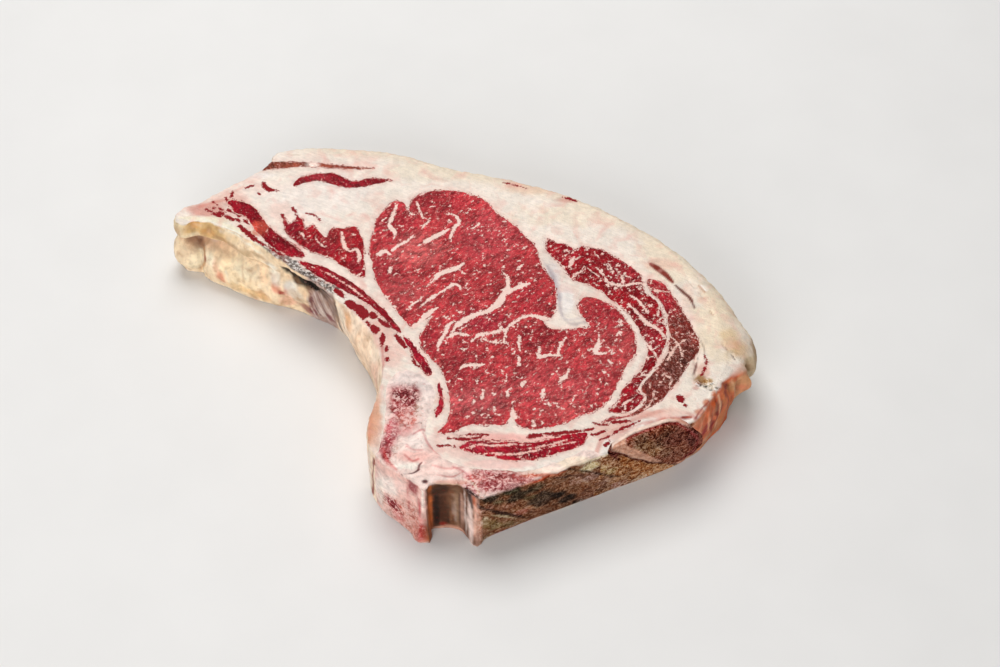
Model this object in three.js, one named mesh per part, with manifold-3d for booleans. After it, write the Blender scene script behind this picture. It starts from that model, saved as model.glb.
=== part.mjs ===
// A raw, bone-in slice of beef rib: one thick cut across the loin, lying flat on its sawn face.
// Every piece runs right through the slice. The fat is one solid, and the muscles and the bones
// fill pockets in it. Units are millimetres, +Z is up, and the underside lies on z = 0.
import * as THREE from "three";
import { mergeVertices } from "three/addons/utils/BufferGeometryUtils.js";
import Module from "manifold-3d";

// Driving dimensions.
const THICKNESS = 32; // of the slice
const TAIL_DROP = 2.5; // how much thinner the slice is at the end of its tail
const SWELL = 0.55; // rise and fall of the soft cut face
const SEAM_GAP = 0.3; // clearance between two neighbouring pieces
const WALL_STEP = 6; // length of one facet round the outside
const SEAM_STEP = 3.2; // length of one facet round a muscle
const FACE_STEP = 10; // size of one facet on the cut face
const HEADROOM = 4; // what the tools reach above and below the slice
const BULGE_HEIGHT = 0.63; // share of the thickness at which the wall stands out furthest
const BULGE_POWER = Math.log(0.5) / Math.log(BULGE_HEIGHT);
const CENTRE = [-0.2, -1.2]; // middle of the slice, on the grid that the outlines use

// The outside of the slice, clockwise from the end of the tail, at the cut face.
// belly: how far the wall stands out at mid height. foot: how far at the floor.
// roll: share of the rib's rounded end and of the groove above it. rim: radius of the top edge.
//  x, y, belly, foot, roll, rim
const WALL = [
  [-117.5, 51.5, 1.0, 0.5, 0.35, 2.5],
  [-116.0, 55.8, 1.0, 0.0, 0.1, 2.5],
  [-110.0, 58.6, 1.5, 0.0, 0.0, 1.5],
  [-104.5, 63.0, 1.5, 0.0, 0.0, 1.5],
  [-96.0, 69.5, 1.5, 0.0, 0.0, 1.5],
  [-86.0, 76.6, 1.5, 0.0, 0.0, 1.5],
  [-80.8, 81.6, 1.0, 0.0, 0.0, 1.5],
  [-79.0, 86.5, 1.0, 0.0, 0.0, 1.5],
  [-72.0, 89.2, 1.5, 0.0, 0.0, 2.5],
  [-60.0, 90.4, 1.5, 0.0, 0.0, 3.0],
  [-48.0, 89.6, 1.5, 0.0, 0.0, 3.0],
  [-30.0, 88.0, 1.5, 0.0, 0.0, 3.0],
  [-19.0, 84.6, 1.5, 0.0, 0.0, 3.0],
  [-10.0, 80.6, 1.5, 0.0, 0.0, 3.0],
  [8.0, 75.8, 1.5, 0.0, 0.0, 3.0],
  [27.0, 70.4, 1.5, 0.0, 0.0, 3.0],
  [45.0, 64.0, 1.5, 0.0, 0.0, 3.5],
  [62.0, 55.4, 1.5, 0.0, 0.0, 4.0],
  [78.0, 44.4, 2.0, 0.0, 0.0, 4.5],
  [91.0, 33.2, 2.5, 0.5, 0.0, 5.0],
  [101.5, 20.4, 3.0, 1.0, 0.0, 5.5],
  [108.5, 7.0, 5.5, 1.0, 0.0, 6.5],
  [112.0, -5.0, 8.0, 0.5, 0.0, 7.5],
  [114.2, -15.0, 10.0, -0.5, 0.0, 8.0],
  [114.2, -24.0, 8.0, -1.0, 0.0, 7.0],
  [111.5, -31.0, 5.0, 0.5, 0.0, 5.0],
  [107.5, -36.5, 4.5, 2.0, 0.0, 3.0],
  [104.8, -43.0, 2.5, -0.5, 0.0, 2.5],
  [101.5, -49.0, 1.5, -1.5, 0.0, 2.5],
  [97.0, -55.6, 0.5, -4.0, 0.0, 2.0],
  [92.5, -57.8, 0.5, -3.0, 0.0, 1.5],
  [80.0, -63.5, 0.5, -2.5, 0.0, 1.0],
  [62.0, -71.4, 0.5, -2.5, 0.0, 1.5],
  [44.0, -79.4, 0.0, -2.5, 0.0, 1.5],
  [26.0, -87.4, 0.0, -2.5, 0.0, 1.0],
  [12.0, -92.8, 0.0, -0.5, 0.0, 0.8],
  [9.8, -93.2, 0.0, 2.0, 0.0, 0.8],
  [6.8, -91.0, 0.0, 1.0, 0.0, 0.8],
  [3.4, -87.4, 0.0, 0.5, 0.0, 0.8],
  [-1.0, -86.2, 0.0, 0.0, 0.0, 0.8],
  [-6.0, -86.4, 0.0, 0.0, 0.0, 0.8],
  [-9.4, -87.4, 0.0, 0.3, 0.0, 0.8],
  [-11.0, -89.0, 0.0, 4.6, 0.0, 0.8],
  [-14.6, -86.2, 0.0, 3.6, 0.0, 0.8],
  [-20.0, -82.4, 0.5, 2.4, 0.0, 1.0],
  [-27.0, -77.4, 0.5, 1.5, 0.0, 1.0],
  [-32.4, -70.4, 0.5, 0.5, 0.0, 1.5],
  [-34.2, -63.0, 0.5, 0.0, 0.0, 2.0],
  [-33.0, -54.0, 0.5, 0.5, 0.0, 2.0],
  [-31.0, -45.0, 1.0, 1.0, 0.0, 2.0],
  [-29.2, -36.0, 1.5, 1.5, 0.0, 2.0],
  [-29.0, -27.0, 3.0, 2.5, 0.0, 2.5],
  [-31.0, -17.0, 4.0, 2.5, 0.0, 3.0],
  [-35.5, -8.0, 4.0, 1.5, 0.0, 3.0],
  [-42.0, -0.5, 3.0, -0.5, 0.0, 2.5],
  [-48.5, 5.4, 0.5, -5.0, 0.0, 1.5],
  [-55.0, 11.6, -1.5, -5.5, 0.0, 1.5],
  [-62.0, 17.4, -3.0, -4.0, 0.1, 1.5],
  [-69.0, 23.0, -3.5, -3.0, 0.3, 1.5],
  [-75.5, 28.6, -2.0, -1.0, 0.5, 1.5],
  [-82.0, 34.6, -0.5, -0.5, 0.75, 1.5],
  [-88.5, 40.4, 0.5, -0.5, 0.95, 2.0],
  [-95.0, 46.0, 0.5, -0.5, 1.1, 3.0],
  [-102.5, 50.0, 0.5, -0.5, 1.1, 4.0],
  [-110.5, 51.6, 0.5, -0.5, 1.05, 4.0],
  [-115.5, 49.8, 0.5, -0.5, 0.75, 3.5],
];

// Section through the rib's rounded end: share of the thickness, and millimetres outward.
// A lip of fat hangs over a groove, and below it the covered rib swells out to the floor.
const ROLL_SECTION = [
  [0.0, 6.0],
  [0.12, 7.6],
  [0.3, 8.2],
  [0.44, 6.6],
  [0.52, 2.6],
  [0.58, 0.2],
  [0.64, 0.6],
  [0.7, 3.6],
  [0.8, 3.4],
  [0.9, 1.8],
  [1.0, 0.0],
];
const RING_SHARES = [0, 0.06, 0.2, 0.36, 0.46, 0.54, 0.61, 0.7, 0.82];
const RIM_TURNS = [0, 0.5, 1]; // steps round the top edge, as shares of a quarter turn

// What runs through the slice: outlines at the cut face, each a smooth closed curve.
const RIBEYE = [
  [-19.4, 60.2], [-15.5, 63.8], [-9.5, 65.8], [-3.5, 66.0], [3.0, 65.0], [9.0, 62.2],
  [13.6, 58.4], [16.6, 53.6], [20.6, 50.2], [25.2, 45.8], [29.0, 40.4], [32.6, 35.8],
  [34.8, 30.0], [35.4, 25.0], [38.4, 19.4], [41.2, 14.4], [41.8, 7.0], [41.4, 0.0],
  [39.4, -4.4], [36.6, -6.2], [39.6, -9.4], [45.6, -9.6], [51.6, -9.2], [55.4, -8.4],
  [53.2, -4.4], [50.8, -0.6], [51.0, 4.0], [53.8, 7.4], [58.4, 7.0], [63.0, 4.0],
  [67.4, 0.2], [70.4, -5.0], [73.2, -10.6], [74.0, -17.0], [73.0, -23.2], [69.8, -28.6],
  [67.2, -34.4], [64.8, -40.8], [61.8, -46.6], [58.4, -50.4], [51.8, -53.4], [45.4, -56.8],
  [38.0, -59.2], [31.6, -60.2], [26.2, -58.8], [23.2, -54.2], [20.2, -57.8], [12.6, -58.2],
  [5.0, -58.8], [0.6, -61.4], [-6.4, -61.8], [-3.2, -57.4], [-1.6, -52.0], [-1.8, -44.6],
  [-3.0, -37.2], [-5.4, -30.6], [-9.2, -25.6], [-13.0, -20.4], [-14.6, -14.8], [-12.6, -9.6],
  [-10.0, -3.0], [-13.4, -5.6], [-17.4, -9.0], [-21.4, -4.0], [-25.8, 2.6], [-30.0, 9.0],
  [-33.2, 15.6], [-34.8, 23.6], [-36.4, 32.6], [-35.6, 41.0], [-33.8, 49.8], [-30.0, 55.6],
  [-26.4, 59.6], [-22.8, 58.6], [-20.8, 54.4],
];
const RIB_CAP = [
  [38.6, 39.2], [41.6, 36.6], [46.0, 35.2], [50.4, 32.4], [53.0, 34.0], [58.6, 33.2],
  [64.2, 30.8], [69.4, 26.8], [74.0, 22.4], [77.0, 19.4], [78.0, 13.8], [79.0, 9.0],
  [82.4, 4.8], [84.8, -0.6], [85.6, -7.0], [86.0, -13.0], [84.8, -19.4], [82.0, -25.6],
  [78.8, -31.2], [75.4, -36.0], [73.6, -41.4], [75.8, -45.0], [72.8, -49.6], [67.0, -52.8],
  [61.4, -51.4], [65.2, -47.4], [67.2, -42.0], [70.4, -37.0], [74.2, -32.2], [77.4, -26.6],
  [78.6, -19.6], [76.8, -13.6], [74.8, -8.4], [72.4, -3.4], [68.8, 1.6], [64.6, 5.6],
  [60.6, 9.8], [55.4, 14.0], [48.4, 16.4], [45.4, 21.6], [41.6, 27.4], [38.2, 32.6],
];
const CAP_BORDER = [
  [79.8, 16.0], [83.6, 16.4], [87.6, 12.0], [90.6, 6.4], [93.4, 0.8], [96.0, -5.4],
  [98.4, -12.0], [99.6, -19.0], [97.6, -24.0], [94.6, -28.0], [91.6, -33.6], [88.0, -39.4],
  [84.0, -45.0], [78.6, -49.8], [72.4, -53.6], [65.6, -55.8], [58.4, -57.6], [62.0, -54.6],
  [68.0, -54.2], [74.6, -50.8], [77.6, -45.6], [76.0, -40.4], [79.4, -34.6], [84.2, -27.8],
  [87.6, -21.4], [88.6, -14.6], [87.8, -7.0], [87.2, 0.0], [84.6, 5.8], [81.0, 10.0],
];
const SIDE_MUSCLE = [
  [-72.6, 43.0], [-71.4, 49.6], [-69.2, 46.0], [-65.8, 48.0], [-64.4, 42.8], [-60.6, 44.4],
  [-57.4, 41.0], [-54.8, 39.2], [-52.6, 44.4], [-47.4, 43.8], [-43.2, 45.2], [-40.4, 40.6],
  [-38.4, 34.6], [-38.4, 27.0], [-38.0, 17.6], [-42.0, 18.6], [-47.0, 23.6], [-53.6, 28.6],
  [-61.0, 31.4], [-66.4, 35.6],
];
const RIB_STRAP_UPPER = [
  [-98.6, 61.0], [-94.0, 59.4], [-88.0, 57.4], [-84.2, 53.2], [-81.4, 47.4], [-76.4, 41.6],
  [-70.0, 36.0], [-64.2, 30.6], [-65.6, 28.4], [-70.4, 30.8], [-76.4, 36.4], [-82.0, 41.2],
  [-86.4, 47.0], [-92.0, 52.2], [-97.6, 56.6],
];
const RIB_STRAP_LOWER = [
  [-65.8, 26.0], [-59.0, 24.6], [-51.4, 20.8], [-43.6, 15.4], [-36.6, 8.6], [-30.8, 2.0],
  [-25.6, -4.6], [-22.2, -11.2], [-25.4, -8.8], [-30.4, -2.4], [-36.6, 3.6], [-44.0, 9.2],
  [-52.0, 14.6], [-60.0, 20.0],
];
const NECK_STRAP = [
  [-21.0, -13.6], [-17.4, -16.6], [-13.6, -23.0], [-10.6, -27.4], [-8.8, -32.6], [-10.6, -34.0],
  [-13.6, -29.2], [-17.4, -22.4],
];
const NECK_STRAP_LOWER = [
  [-6.0, -36.8], [-4.6, -42.0], [-4.0, -47.4], [-4.6, -51.2], [-7.0, -54.6], [-7.4, -52.0],
  [-6.2, -47.6], [-6.2, -42.4], [-6.8, -38.0],
];
const SKIN_MUSCLE_OUTER = [
  [-89.0, 78.4], [-85.0, 83.6], [-79.6, 82.6], [-72.0, 82.2], [-64.0, 82.0], [-54.0, 80.8],
  [-44.0, 79.4], [-36.0, 78.0], [-46.0, 77.8], [-56.0, 78.8], [-66.0, 79.4], [-76.0, 78.6],
];
const SKIN_MUSCLE_INNER = [
  [-70.0, 68.4], [-68.2, 73.2], [-62.0, 75.2], [-53.4, 75.6], [-48.6, 73.0], [-44.4, 70.8],
  [-37.0, 72.2], [-27.6, 71.2], [-34.0, 69.4], [-42.0, 67.2], [-50.4, 68.0], [-59.0, 71.0],
  [-65.0, 70.4],
];
const CHINE_MUSCLE = [
  [2.6, -69.2], [6.4, -66.0], [13.6, -65.6], [21.0, -65.4], [29.0, -66.0], [37.6, -64.6],
  [46.0, -62.6], [53.0, -62.4], [51.4, -67.4], [43.0, -71.2], [33.0, -74.6], [22.6, -75.0],
  [11.6, -72.6],
];
// The bones reach the outside, so their outlines run on past the wall and are cut off by it.
const VERTEBRA = [
  [-26.4, -37.0], [-21.4, -31.8], [-15.0, -32.2], [-10.6, -36.4], [-8.0, -42.4], [-8.6, -50.6],
  [-11.0, -58.6], [-9.4, -67.0], [-3.4, -74.4], [6.0, -78.6], [17.0, -79.6], [28.0, -80.4],
  [40.0, -76.6], [54.0, -70.6], [60.0, -76.0], [56.0, -90.0], [20.0, -112.0], [-18.0, -110.0],
  [-44.0, -92.0], [-42.0, -79.4], [-31.4, -74.6], [-28.4, -65.4], [-27.4, -55.0], [-27.0, -45.0],
];
const FEATHER_BONE = [
  [62.0, -68.4], [67.0, -63.8], [73.4, -60.2], [80.0, -57.2], [86.6, -55.4], [92.0, -56.6],
  [96.0, -63.0], [90.0, -74.0], [70.0, -82.0], [61.0, -79.0],
];

// name, outline, colour, roughness, and how far the foot lies from the head along x and y
const PIECES = [
  ["ribeye_muscle", RIBEYE, "#a33a3c", 0.42, 0, 0],
  ["rib_cap_muscle", RIB_CAP, "#a01f2c", 0.4, 0, 0],
  ["cap_border_muscle", CAP_BORDER, "#6f2a26", 0.5, 0, 0],
  ["side_muscle", SIDE_MUSCLE, "#a32633", 0.4, 0, 0],
  ["rib_strap_upper", RIB_STRAP_UPPER, "#8f0f22", 0.38, 0, 0],
  ["rib_strap_lower", RIB_STRAP_LOWER, "#9a1a2a", 0.38, 2.4, 2.6],
  ["neck_strap", NECK_STRAP, "#96162a", 0.38, 0, 0],
  ["neck_strap_lower", NECK_STRAP_LOWER, "#96162a", 0.38, 0, 0],
  ["skin_muscle_outer", SKIN_MUSCLE_OUTER, "#7a3a2b", 0.55, 0, 0],
  ["skin_muscle_inner", SKIN_MUSCLE_INNER, "#962431", 0.42, 0, 0],
  ["chine_muscle", CHINE_MUSCLE, "#a21a2b", 0.38, 0, 0],
  ["vertebra", VERTEBRA, "#dcb2a4", 0.55, 0, 0],
  ["feather_bone", FEATHER_BONE, "#6b4a36", 0.75, 18, 8],
];
const FAT_COLOUR = "#eadfce";
const FAT_ROUGHNESS = 0.5;

const wasm = await Module();
wasm.setup();

// A closed three.js geometry as a solid that can be joined and cut.
function solidFrom(geometry) {
  const bare = new THREE.BufferGeometry();
  bare.setAttribute("position", geometry.getAttribute("position"));
  if (geometry.index) bare.setIndex(geometry.index);
  const merged = mergeVertices(bare, 1e-4);
  return new wasm.Manifold(
    new wasm.Mesh({
      numProp: 3,
      vertProperties: merged.attributes.position.array,
      triVerts: new Uint32Array(merged.index.array),
    }),
  );
}

function geometryFrom(solid) {
  const mesh = solid.getMesh();
  const geometry = new THREE.BufferGeometry();
  geometry.setAttribute("position", new THREE.BufferAttribute(mesh.vertProperties, 3));
  geometry.setIndex(new THREE.BufferAttribute(mesh.triVerts, 1));
  geometry.computeVertexNormals();
  return geometry;
}

// Walks a closed smooth curve through the rows' x and y. The other columns follow along.
function walkRows(rows, step) {
  const knots = rows.map(([x, y]) => new THREE.Vector3(x, y, 0));
  const curve = new THREE.CatmullRomCurve3(knots, true, "centripetal");
  const count = rows.length;
  const walked = [];
  rows.forEach((row, i) => {
    const next = rows[(i + 1) % count];
    const span = knots[i].distanceTo(knots[(i + 1) % count]);
    const pieces = Math.max(1, Math.round(span / step));
    for (let j = 0; j < pieces; j++) {
      const share = j / pieces;
      const point = curve.getPoint((i + share) / count);
      const rest = row.slice(2).map((v, k) => THREE.MathUtils.lerp(v, next[k + 2], share));
      walked.push([point.x, point.y, ...rest]);
    }
  });
  return walked;
}

// Vectors out of a clockwise outline, one for each point. A step of one along them moves both
// neighbouring sides by one, save at the sharpest corners.
function outwards(points) {
  const count = points.length;
  const sides = points.map(([x, y], i) => {
    const [nx, ny] = points[(i + 1) % count];
    return new THREE.Vector2(y - ny, nx - x).normalize();
  });
  return sides.map((after, i) => {
    const before = sides[(i + count - 1) % count];
    const middle = before.clone().add(after).normalize();
    const reach = 1 / Math.max(0.55, middle.dot(after));
    return [middle.x * reach, middle.y * reach];
  });
}

function isClockwise(points) {
  return THREE.ShapeUtils.isClockWise(points.map(([x, y]) => new THREE.Vector2(x, y)));
}

// Reads a table of [position, value] rows at a position, in straight lines between them.
function readTable(table, position) {
  const above = Math.max(1, table.findIndex(([p]) => p >= position));
  const [p0, v0] = table[above - 1];
  const [p1, v1] = table[above];
  return THREE.MathUtils.lerp(v0, v1, (position - p0) / (p1 - p0));
}

// How far the wall stands out at a share of the thickness.
function wallOffset(share, belly, foot, roll) {
  const bulge = belly * Math.sin(Math.PI * share ** BULGE_POWER);
  const spread = foot * (1 - share) ** 2;
  return bulge + spread + roll * readTable(ROLL_SECTION, share);
}

// The whole slice inside its outer wall, with its top left flat and too high.
function wallSolid() {
  const stations = walkRows(WALL, WALL_STEP);
  const out = outwards(stations);
  const rings = [];
  const addRing = (pointAt) => rings.push(stations.map((s, i) => pointAt(s, out[i])));
  const place = ([x, y], [nx, ny], offset, z) => new THREE.Vector3(x + nx * offset, y + ny * offset, z);
  for (const share of RING_SHARES) {
    const lift = (rim) => Math.min(share * THICKNESS, THICKNESS - rim);
    addRing((s, n) => place(s, n, wallOffset(share, s[2], s[3], s[4]), lift(s[5])));
  }
  for (const turn of RIM_TURNS) {
    const angle = (turn * Math.PI) / 2;
    addRing((s, n) => {
      const rim = s[5];
      const start = wallOffset(1 - rim / THICKNESS, s[2], s[3], s[4]);
      const inset = THREE.MathUtils.lerp(start, -rim * 0.5, 1 - Math.cos(angle));
      return place(s, n, inset, THICKNESS - rim * (1 - Math.sin(angle)));
    });
  }
  addRing((s, n) => place(s, n, -s[5] * 0.5, THICKNESS + HEADROOM));

  const count = stations.length;
  const faces = [];
  rings.slice(1).forEach((_, k) => {
    for (let i = 0; i < count; i++) {
      const a = k * count + i;
      const b = k * count + ((i + 1) % count);
      faces.push(a, a + count, b, b, a + count, b + count);
    }
  });
  const top = (rings.length - 1) * count;
  const flat = (ring) => ring.map((p) => new THREE.Vector2(p.x, p.y));
  for (const [a, b, c] of THREE.ShapeUtils.triangulateShape(flat(rings[0]), [])) faces.push(a, c, b);
  for (const [a, b, c] of THREE.ShapeUtils.triangulateShape(flat(rings.at(-1)), []))
    faces.push(top + a, top + b, top + c);

  const geometry = new THREE.BufferGeometry().setFromPoints(rings.flat());
  geometry.setIndex(faces);
  const solid = solidFrom(geometry);
  return solid.volume() > 0 ? solid : solidFrom(flipped(geometry));
}

function flipped(geometry) {
  const index = Array.from(geometry.index.array);
  for (let i = 0; i < index.length; i += 3) [index[i], index[i + 1]] = [index[i + 1], index[i]];
  return geometry.clone().setIndex(index);
}

// Height of the soft cut face: long shallow waves, and a tail that lies a little lower.
function faceHeight(x, y) {
  const waves = Math.sin(x / 17 + 0.6) * Math.cos(y / 21) + 0.5 * Math.sin((x - y) / 9.5);
  const tail = THREE.MathUtils.smoothstep(-x, 70, 122);
  return THICKNESS + SWELL * 0.66 * waves - TAIL_DROP * tail;
}

// A block under the cut face, wider than the slice.
function underFace() {
  const width = 272;
  const depth = 208;
  const columns = Math.round(width / FACE_STEP);
  const rowsOf = Math.round(depth / FACE_STEP);
  const block = new THREE.BoxGeometry(width, depth, 1, columns, rowsOf, 1);
  const position = block.getAttribute("position");
  for (let i = 0; i < position.count; i++) {
    const isTop = position.getZ(i) > 0;
    const z = isTop ? faceHeight(position.getX(i), position.getY(i)) : -HEADROOM;
    position.setZ(i, z);
  }
  return solidFrom(block);
}

// A prism right through the slice, on an outline that is grown outward by a distance. Its head
// is where the outline is drawn, and its foot lies off to the side by leanX and leanY.
function prism(outline, grow, leanX, leanY) {
  const walked = walkRows(outline, SEAM_STEP);
  if (!isClockwise(walked)) walked.reverse();
  const out = outwards(walked);
  const points = walked.map(([x, y], i) => new THREE.Vector2(x + out[i][0] * grow, y + out[i][1] * grow));
  const shape = new THREE.Shape(points);
  const depth = THICKNESS + 2 * HEADROOM;
  const geometry = new THREE.ExtrudeGeometry(shape, { depth, bevelEnabled: false });
  geometry.translate(0, 0, -HEADROOM);
  const lean = new THREE.Matrix4().makeShear(0, 0, 0, 0, -leanX / THICKNESS, -leanY / THICKNESS);
  geometry.applyMatrix4(lean);
  geometry.translate(leanX, leanY, 0);
  return solidFrom(geometry);
}

function addPiece(group, name, solid, colour, roughness) {
  const material = new THREE.MeshStandardMaterial({ color: colour, roughness, metalness: 0 });
  const mesh = new THREE.Mesh(geometryFrom(solid), material);
  mesh.name = name;
  group.add(mesh);
}

function ribSlice() {
  const group = new THREE.Group();
  const slice = wallSolid().intersect(underFace());
  let fat = slice;
  for (const [name, outline, colour, roughness, leanX, leanY] of PIECES) {
    const piece = slice.intersect(prism(outline, -SEAM_GAP / 2, leanX, leanY));
    addPiece(group, name, piece, colour, roughness);
    fat = fat.subtract(prism(outline, SEAM_GAP / 2, leanX, leanY));
  }
  addPiece(group, "fat", fat, FAT_COLOUR, FAT_ROUGHNESS);
  group.position.set(-CENTRE[0], -CENTRE[1], 0);
  return group;
}

export default ribSlice();
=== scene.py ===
# %% [markdown]
# # A thick slice of raw beef rib
# The slice lies flat on a pale table. It is made of muscles, fat and bone that run right through
# it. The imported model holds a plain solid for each, and each solid is replaced here by a mesh with
# a finish of its own. This lesson adds what the eye looks for: the marbling, the seams of fat, the
# yellowed outside and the dark, dried saw cut through the spine.

# %% Load the fixed model
import math

import bmesh
import bpy
import numpy as np
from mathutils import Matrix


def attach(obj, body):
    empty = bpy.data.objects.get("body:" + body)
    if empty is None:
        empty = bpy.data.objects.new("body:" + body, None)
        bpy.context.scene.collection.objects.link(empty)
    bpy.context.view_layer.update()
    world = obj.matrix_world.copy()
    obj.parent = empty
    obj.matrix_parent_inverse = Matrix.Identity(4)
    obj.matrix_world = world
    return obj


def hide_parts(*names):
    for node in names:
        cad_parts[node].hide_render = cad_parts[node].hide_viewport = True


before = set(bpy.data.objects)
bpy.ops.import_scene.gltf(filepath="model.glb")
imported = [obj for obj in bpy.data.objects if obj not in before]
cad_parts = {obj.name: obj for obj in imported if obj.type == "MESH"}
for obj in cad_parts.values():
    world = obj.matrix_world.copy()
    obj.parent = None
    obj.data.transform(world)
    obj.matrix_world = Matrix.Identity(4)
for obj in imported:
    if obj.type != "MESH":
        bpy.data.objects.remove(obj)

for name in ("Cube", "Camera", "Light"):
    if name in bpy.data.objects:
        bpy.data.objects.remove(bpy.data.objects[name])
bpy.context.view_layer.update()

# %% [markdown]
# ## One grid for all the drawing
# The outlines below were drawn in millimetres on a grid of their own. The model stands with the
# middle of its outline on the origin, so one small shift takes the drawing to the model. Blender
# works in metres, and the last step of every mesh divides by a thousand.

# %% Sizes that the rest is worked out from
THICKNESS = 32.0  # of the slice, in mm
TAIL_DROP = 2.5  # mm that the tail is thinner
SWELL = 0.55  # mm that the cut face slowly rises and falls
BULGE_HEIGHT = 0.63  # share of the thickness where the wall stands out most
SAW_SLOPE = 0.44  # mm of y for each mm of x along the flat wall that the saw left
HEADROOM = 4.0  # mm that the cutting tools reach past the slice
SHIFT = np.array([0.2, 1.2])  # mm from the drawing grid to the model
TO_METRES = 0.001

# %% [markdown]
# ## The outside of the slice
# Real meat has no sharp outline: the cap swells out, the rib's rounded end stands under a lip of
# fat, and the saw leaves one flat wall. A short table holds this, one row for each place where the
# outline changes: its place on the cut face, how far the wall stands out at mid height and at the
# table, how much of the rib's rounded end it has, and the radius of its top edge. A smooth curve
# through the rows gives everything in between.

# %% The rows of the outer wall, clockwise from the end of the tail
# x, y, belly, foot, roll, rim
WALL = [
    [-119.4, 51.8, 0.8, -3.6, 0.6, 1.5], [-116.8, 56.6, 1, 0, 0.25, 2],
    [-110, 59.8, 1.5, 0, 0, 1.5], [-104.5, 64.2, 1.5, 0, 0, 1.5], [-96, 69.5, 1.5, 0, 0, 1.5],
    [-86, 76.6, 1.5, 0, 0, 1.5], [-80.8, 81.6, 1, 0, 0, 1.5], [-79, 86.5, 1, 0, 0, 1.5],
    [-72, 89.2, 1.5, 0, 0, 2.5], [-60, 90.4, 1.5, 0, 0, 3], [-48, 89.6, 1.5, 0, 0, 3],
    [-30, 88, 1.5, 0, 0, 3], [-19, 84.6, 1.5, 0, 0, 3], [-10, 80.6, 1.5, 0, 0, 3],
    [8, 75.8, 1.5, 0, 0, 3], [27, 70.4, 1.5, 0, 0, 3], [45, 64, 1.5, 0, 0, 3.5],
    [62, 55.4, 1.5, 0, 0, 4], [78, 44.4, 2, 0, 0, 4.5], [91, 33.2, 2.5, 0.5, 0, 5],
    [101.5, 20.4, 3, 1, 0, 5.5], [108.5, 7, 5.5, 1, 0, 6.5], [112, -5, 8, 0.5, 0, 7.5],
    [114.2, -15, 10, -0.5, 0, 8], [114.2, -24, 8, -1, 0, 7], [111.5, -31, 5, 0.5, 0, 5],
    [107.5, -36.5, 4.5, 2, 0, 3], [104.8, -43, 2.5, -0.5, 0, 2.5], [101.5, -49, 1.5, -1.5, 0, 2.5],
    [97, -55.6, 0.5, -4, 0, 2], [92.5, -57.8, 0.5, -3, 0, 1.5], [80, -63.5, 0.5, -2.5, 0, 1],
    [62, -71.4, 0.5, -2.5, 0, 1.5], [44, -79.4, 0, -2.5, 0, 1.5], [26, -87.4, 0, -2.5, 0, 1],
    [12, -92.8, 0, -0.5, 0, 0.8], [9.8, -93.2, 0, 2, 0, 0.8], [6.8, -91, 0, 1, 0, 0.8],
    [3.4, -87.4, 0, 0.5, 0, 0.8], [-1, -86.2, 0, 0, 0, 0.8], [-6, -86.4, 0, 0, 0, 0.8],
    [-9.4, -87.4, 0, 0.3, 0, 0.8], [-11, -89, 0, 4.6, 0, 0.8], [-14.6, -86.2, 0, 3.6, 0, 0.8],
    [-20, -82.4, 0.5, 2.4, 0, 1], [-27, -77.4, 0.5, 1.5, 0, 1], [-32.4, -70.4, 0.5, 0.5, 0, 1.5],
    [-34.2, -63, 0.5, 0, 0, 2], [-33, -54, 0.5, 0.5, 0, 2], [-31, -45, 1, 1, 0, 2],
    [-29.2, -36, 1.5, 1.5, 0, 2], [-29, -27, 3, 2.5, 0, 2.5], [-31, -17, 4, 2.5, 0, 3],
    [-35.5, -8, 4, 1.5, 0, 3], [-42, -0.5, 3, -0.5, 0, 2.5], [-48.5, 5.4, 0.5, -5, 0, 1.5],
    [-55, 11.6, -1.5, -5.5, 0, 1.5], [-62, 17.4, -3, -4.4, 0.1, 1.5],
    [-69, 23, -3.5, -4.2, 0.3, 1.5], [-75.5, 28.6, -2, -1.8, 0.5, 1.5],
    [-82, 34.6, -0.5, 0.8, 0.75, 1.5], [-88.5, 40.4, 0.5, 2, 0.95, 2],
    [-95, 46, 0.5, 2.6, 1.1, 2.5], [-102.5, 50, 0.5, 2.8, 1.1, 3],
    [-110.5, 51.6, 0.5, 0.2, 1.05, 2.5], [-117, 49.2, 0.5, -4, 0.95, 2],
]

# Section through the rib's rounded end: share of the thickness, and mm outward.
ROLL_SHARES = [0.0, 0.12, 0.3, 0.44, 0.52, 0.58, 0.64, 0.7, 0.8, 0.9, 1.0]
ROLL_OUT = [6.0, 7.6, 8.2, 6.6, 2.6, 0.2, 0.6, 3.6, 3.4, 1.8, 0.0]

# %% [markdown]
# ## Smooth curves and smooth randomness
# Two helpers do most of the modelling. The first runs a smooth curve through a few given
# points (a centripetal Catmull-Rom spline, which never loops at a sharp corner). The second gives
# random values that change smoothly over a chosen distance. Blender's own noise works one point at
# a time, so this one reads a small table of random numbers for all the points at once.

# %% A smooth curve through rows of numbers
def smooth_rows(rows, step, closed=True):
    """The rows, resampled about every step mm along the first two columns."""
    rows = np.array(rows, float)
    count = len(rows)
    if not closed:
        rows = np.vstack([2 * rows[0] - rows[1], rows, 2 * rows[-1] - rows[-2]])
    walked = []
    for i in range(count if closed else count - 1):
        a, b, c, d = [rows[(i + k) % count] for k in (-1, 0, 1, 2)] if closed else rows[i:i + 4]
        ab, bc, cd = [max(math.hypot(*v[:2]), 1e-6) ** 0.5 for v in (b - a, c - b, d - c)]
        leave = ((b - a) / ab - (c - a) / (ab + bc) + (c - b) / bc) * bc
        arrive = ((c - b) / bc - (d - b) / (bc + cd) + (d - c) / cd) * bc
        pieces = max(1, round(bc * bc / step))
        for u in np.arange(pieces) / pieces:
            walked.append(
                b + leave * u + (3 * (c - b) - 2 * leave - arrive) * u ** 2
                + (2 * (b - c) + leave + arrive) * u ** 3
            )
    if not closed:
        walked.append(rows[-2])
    return np.array(walked)


# %% Smooth random values
NOISE_CELLS = 32  # along each side of the random table, after which it repeats


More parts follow.
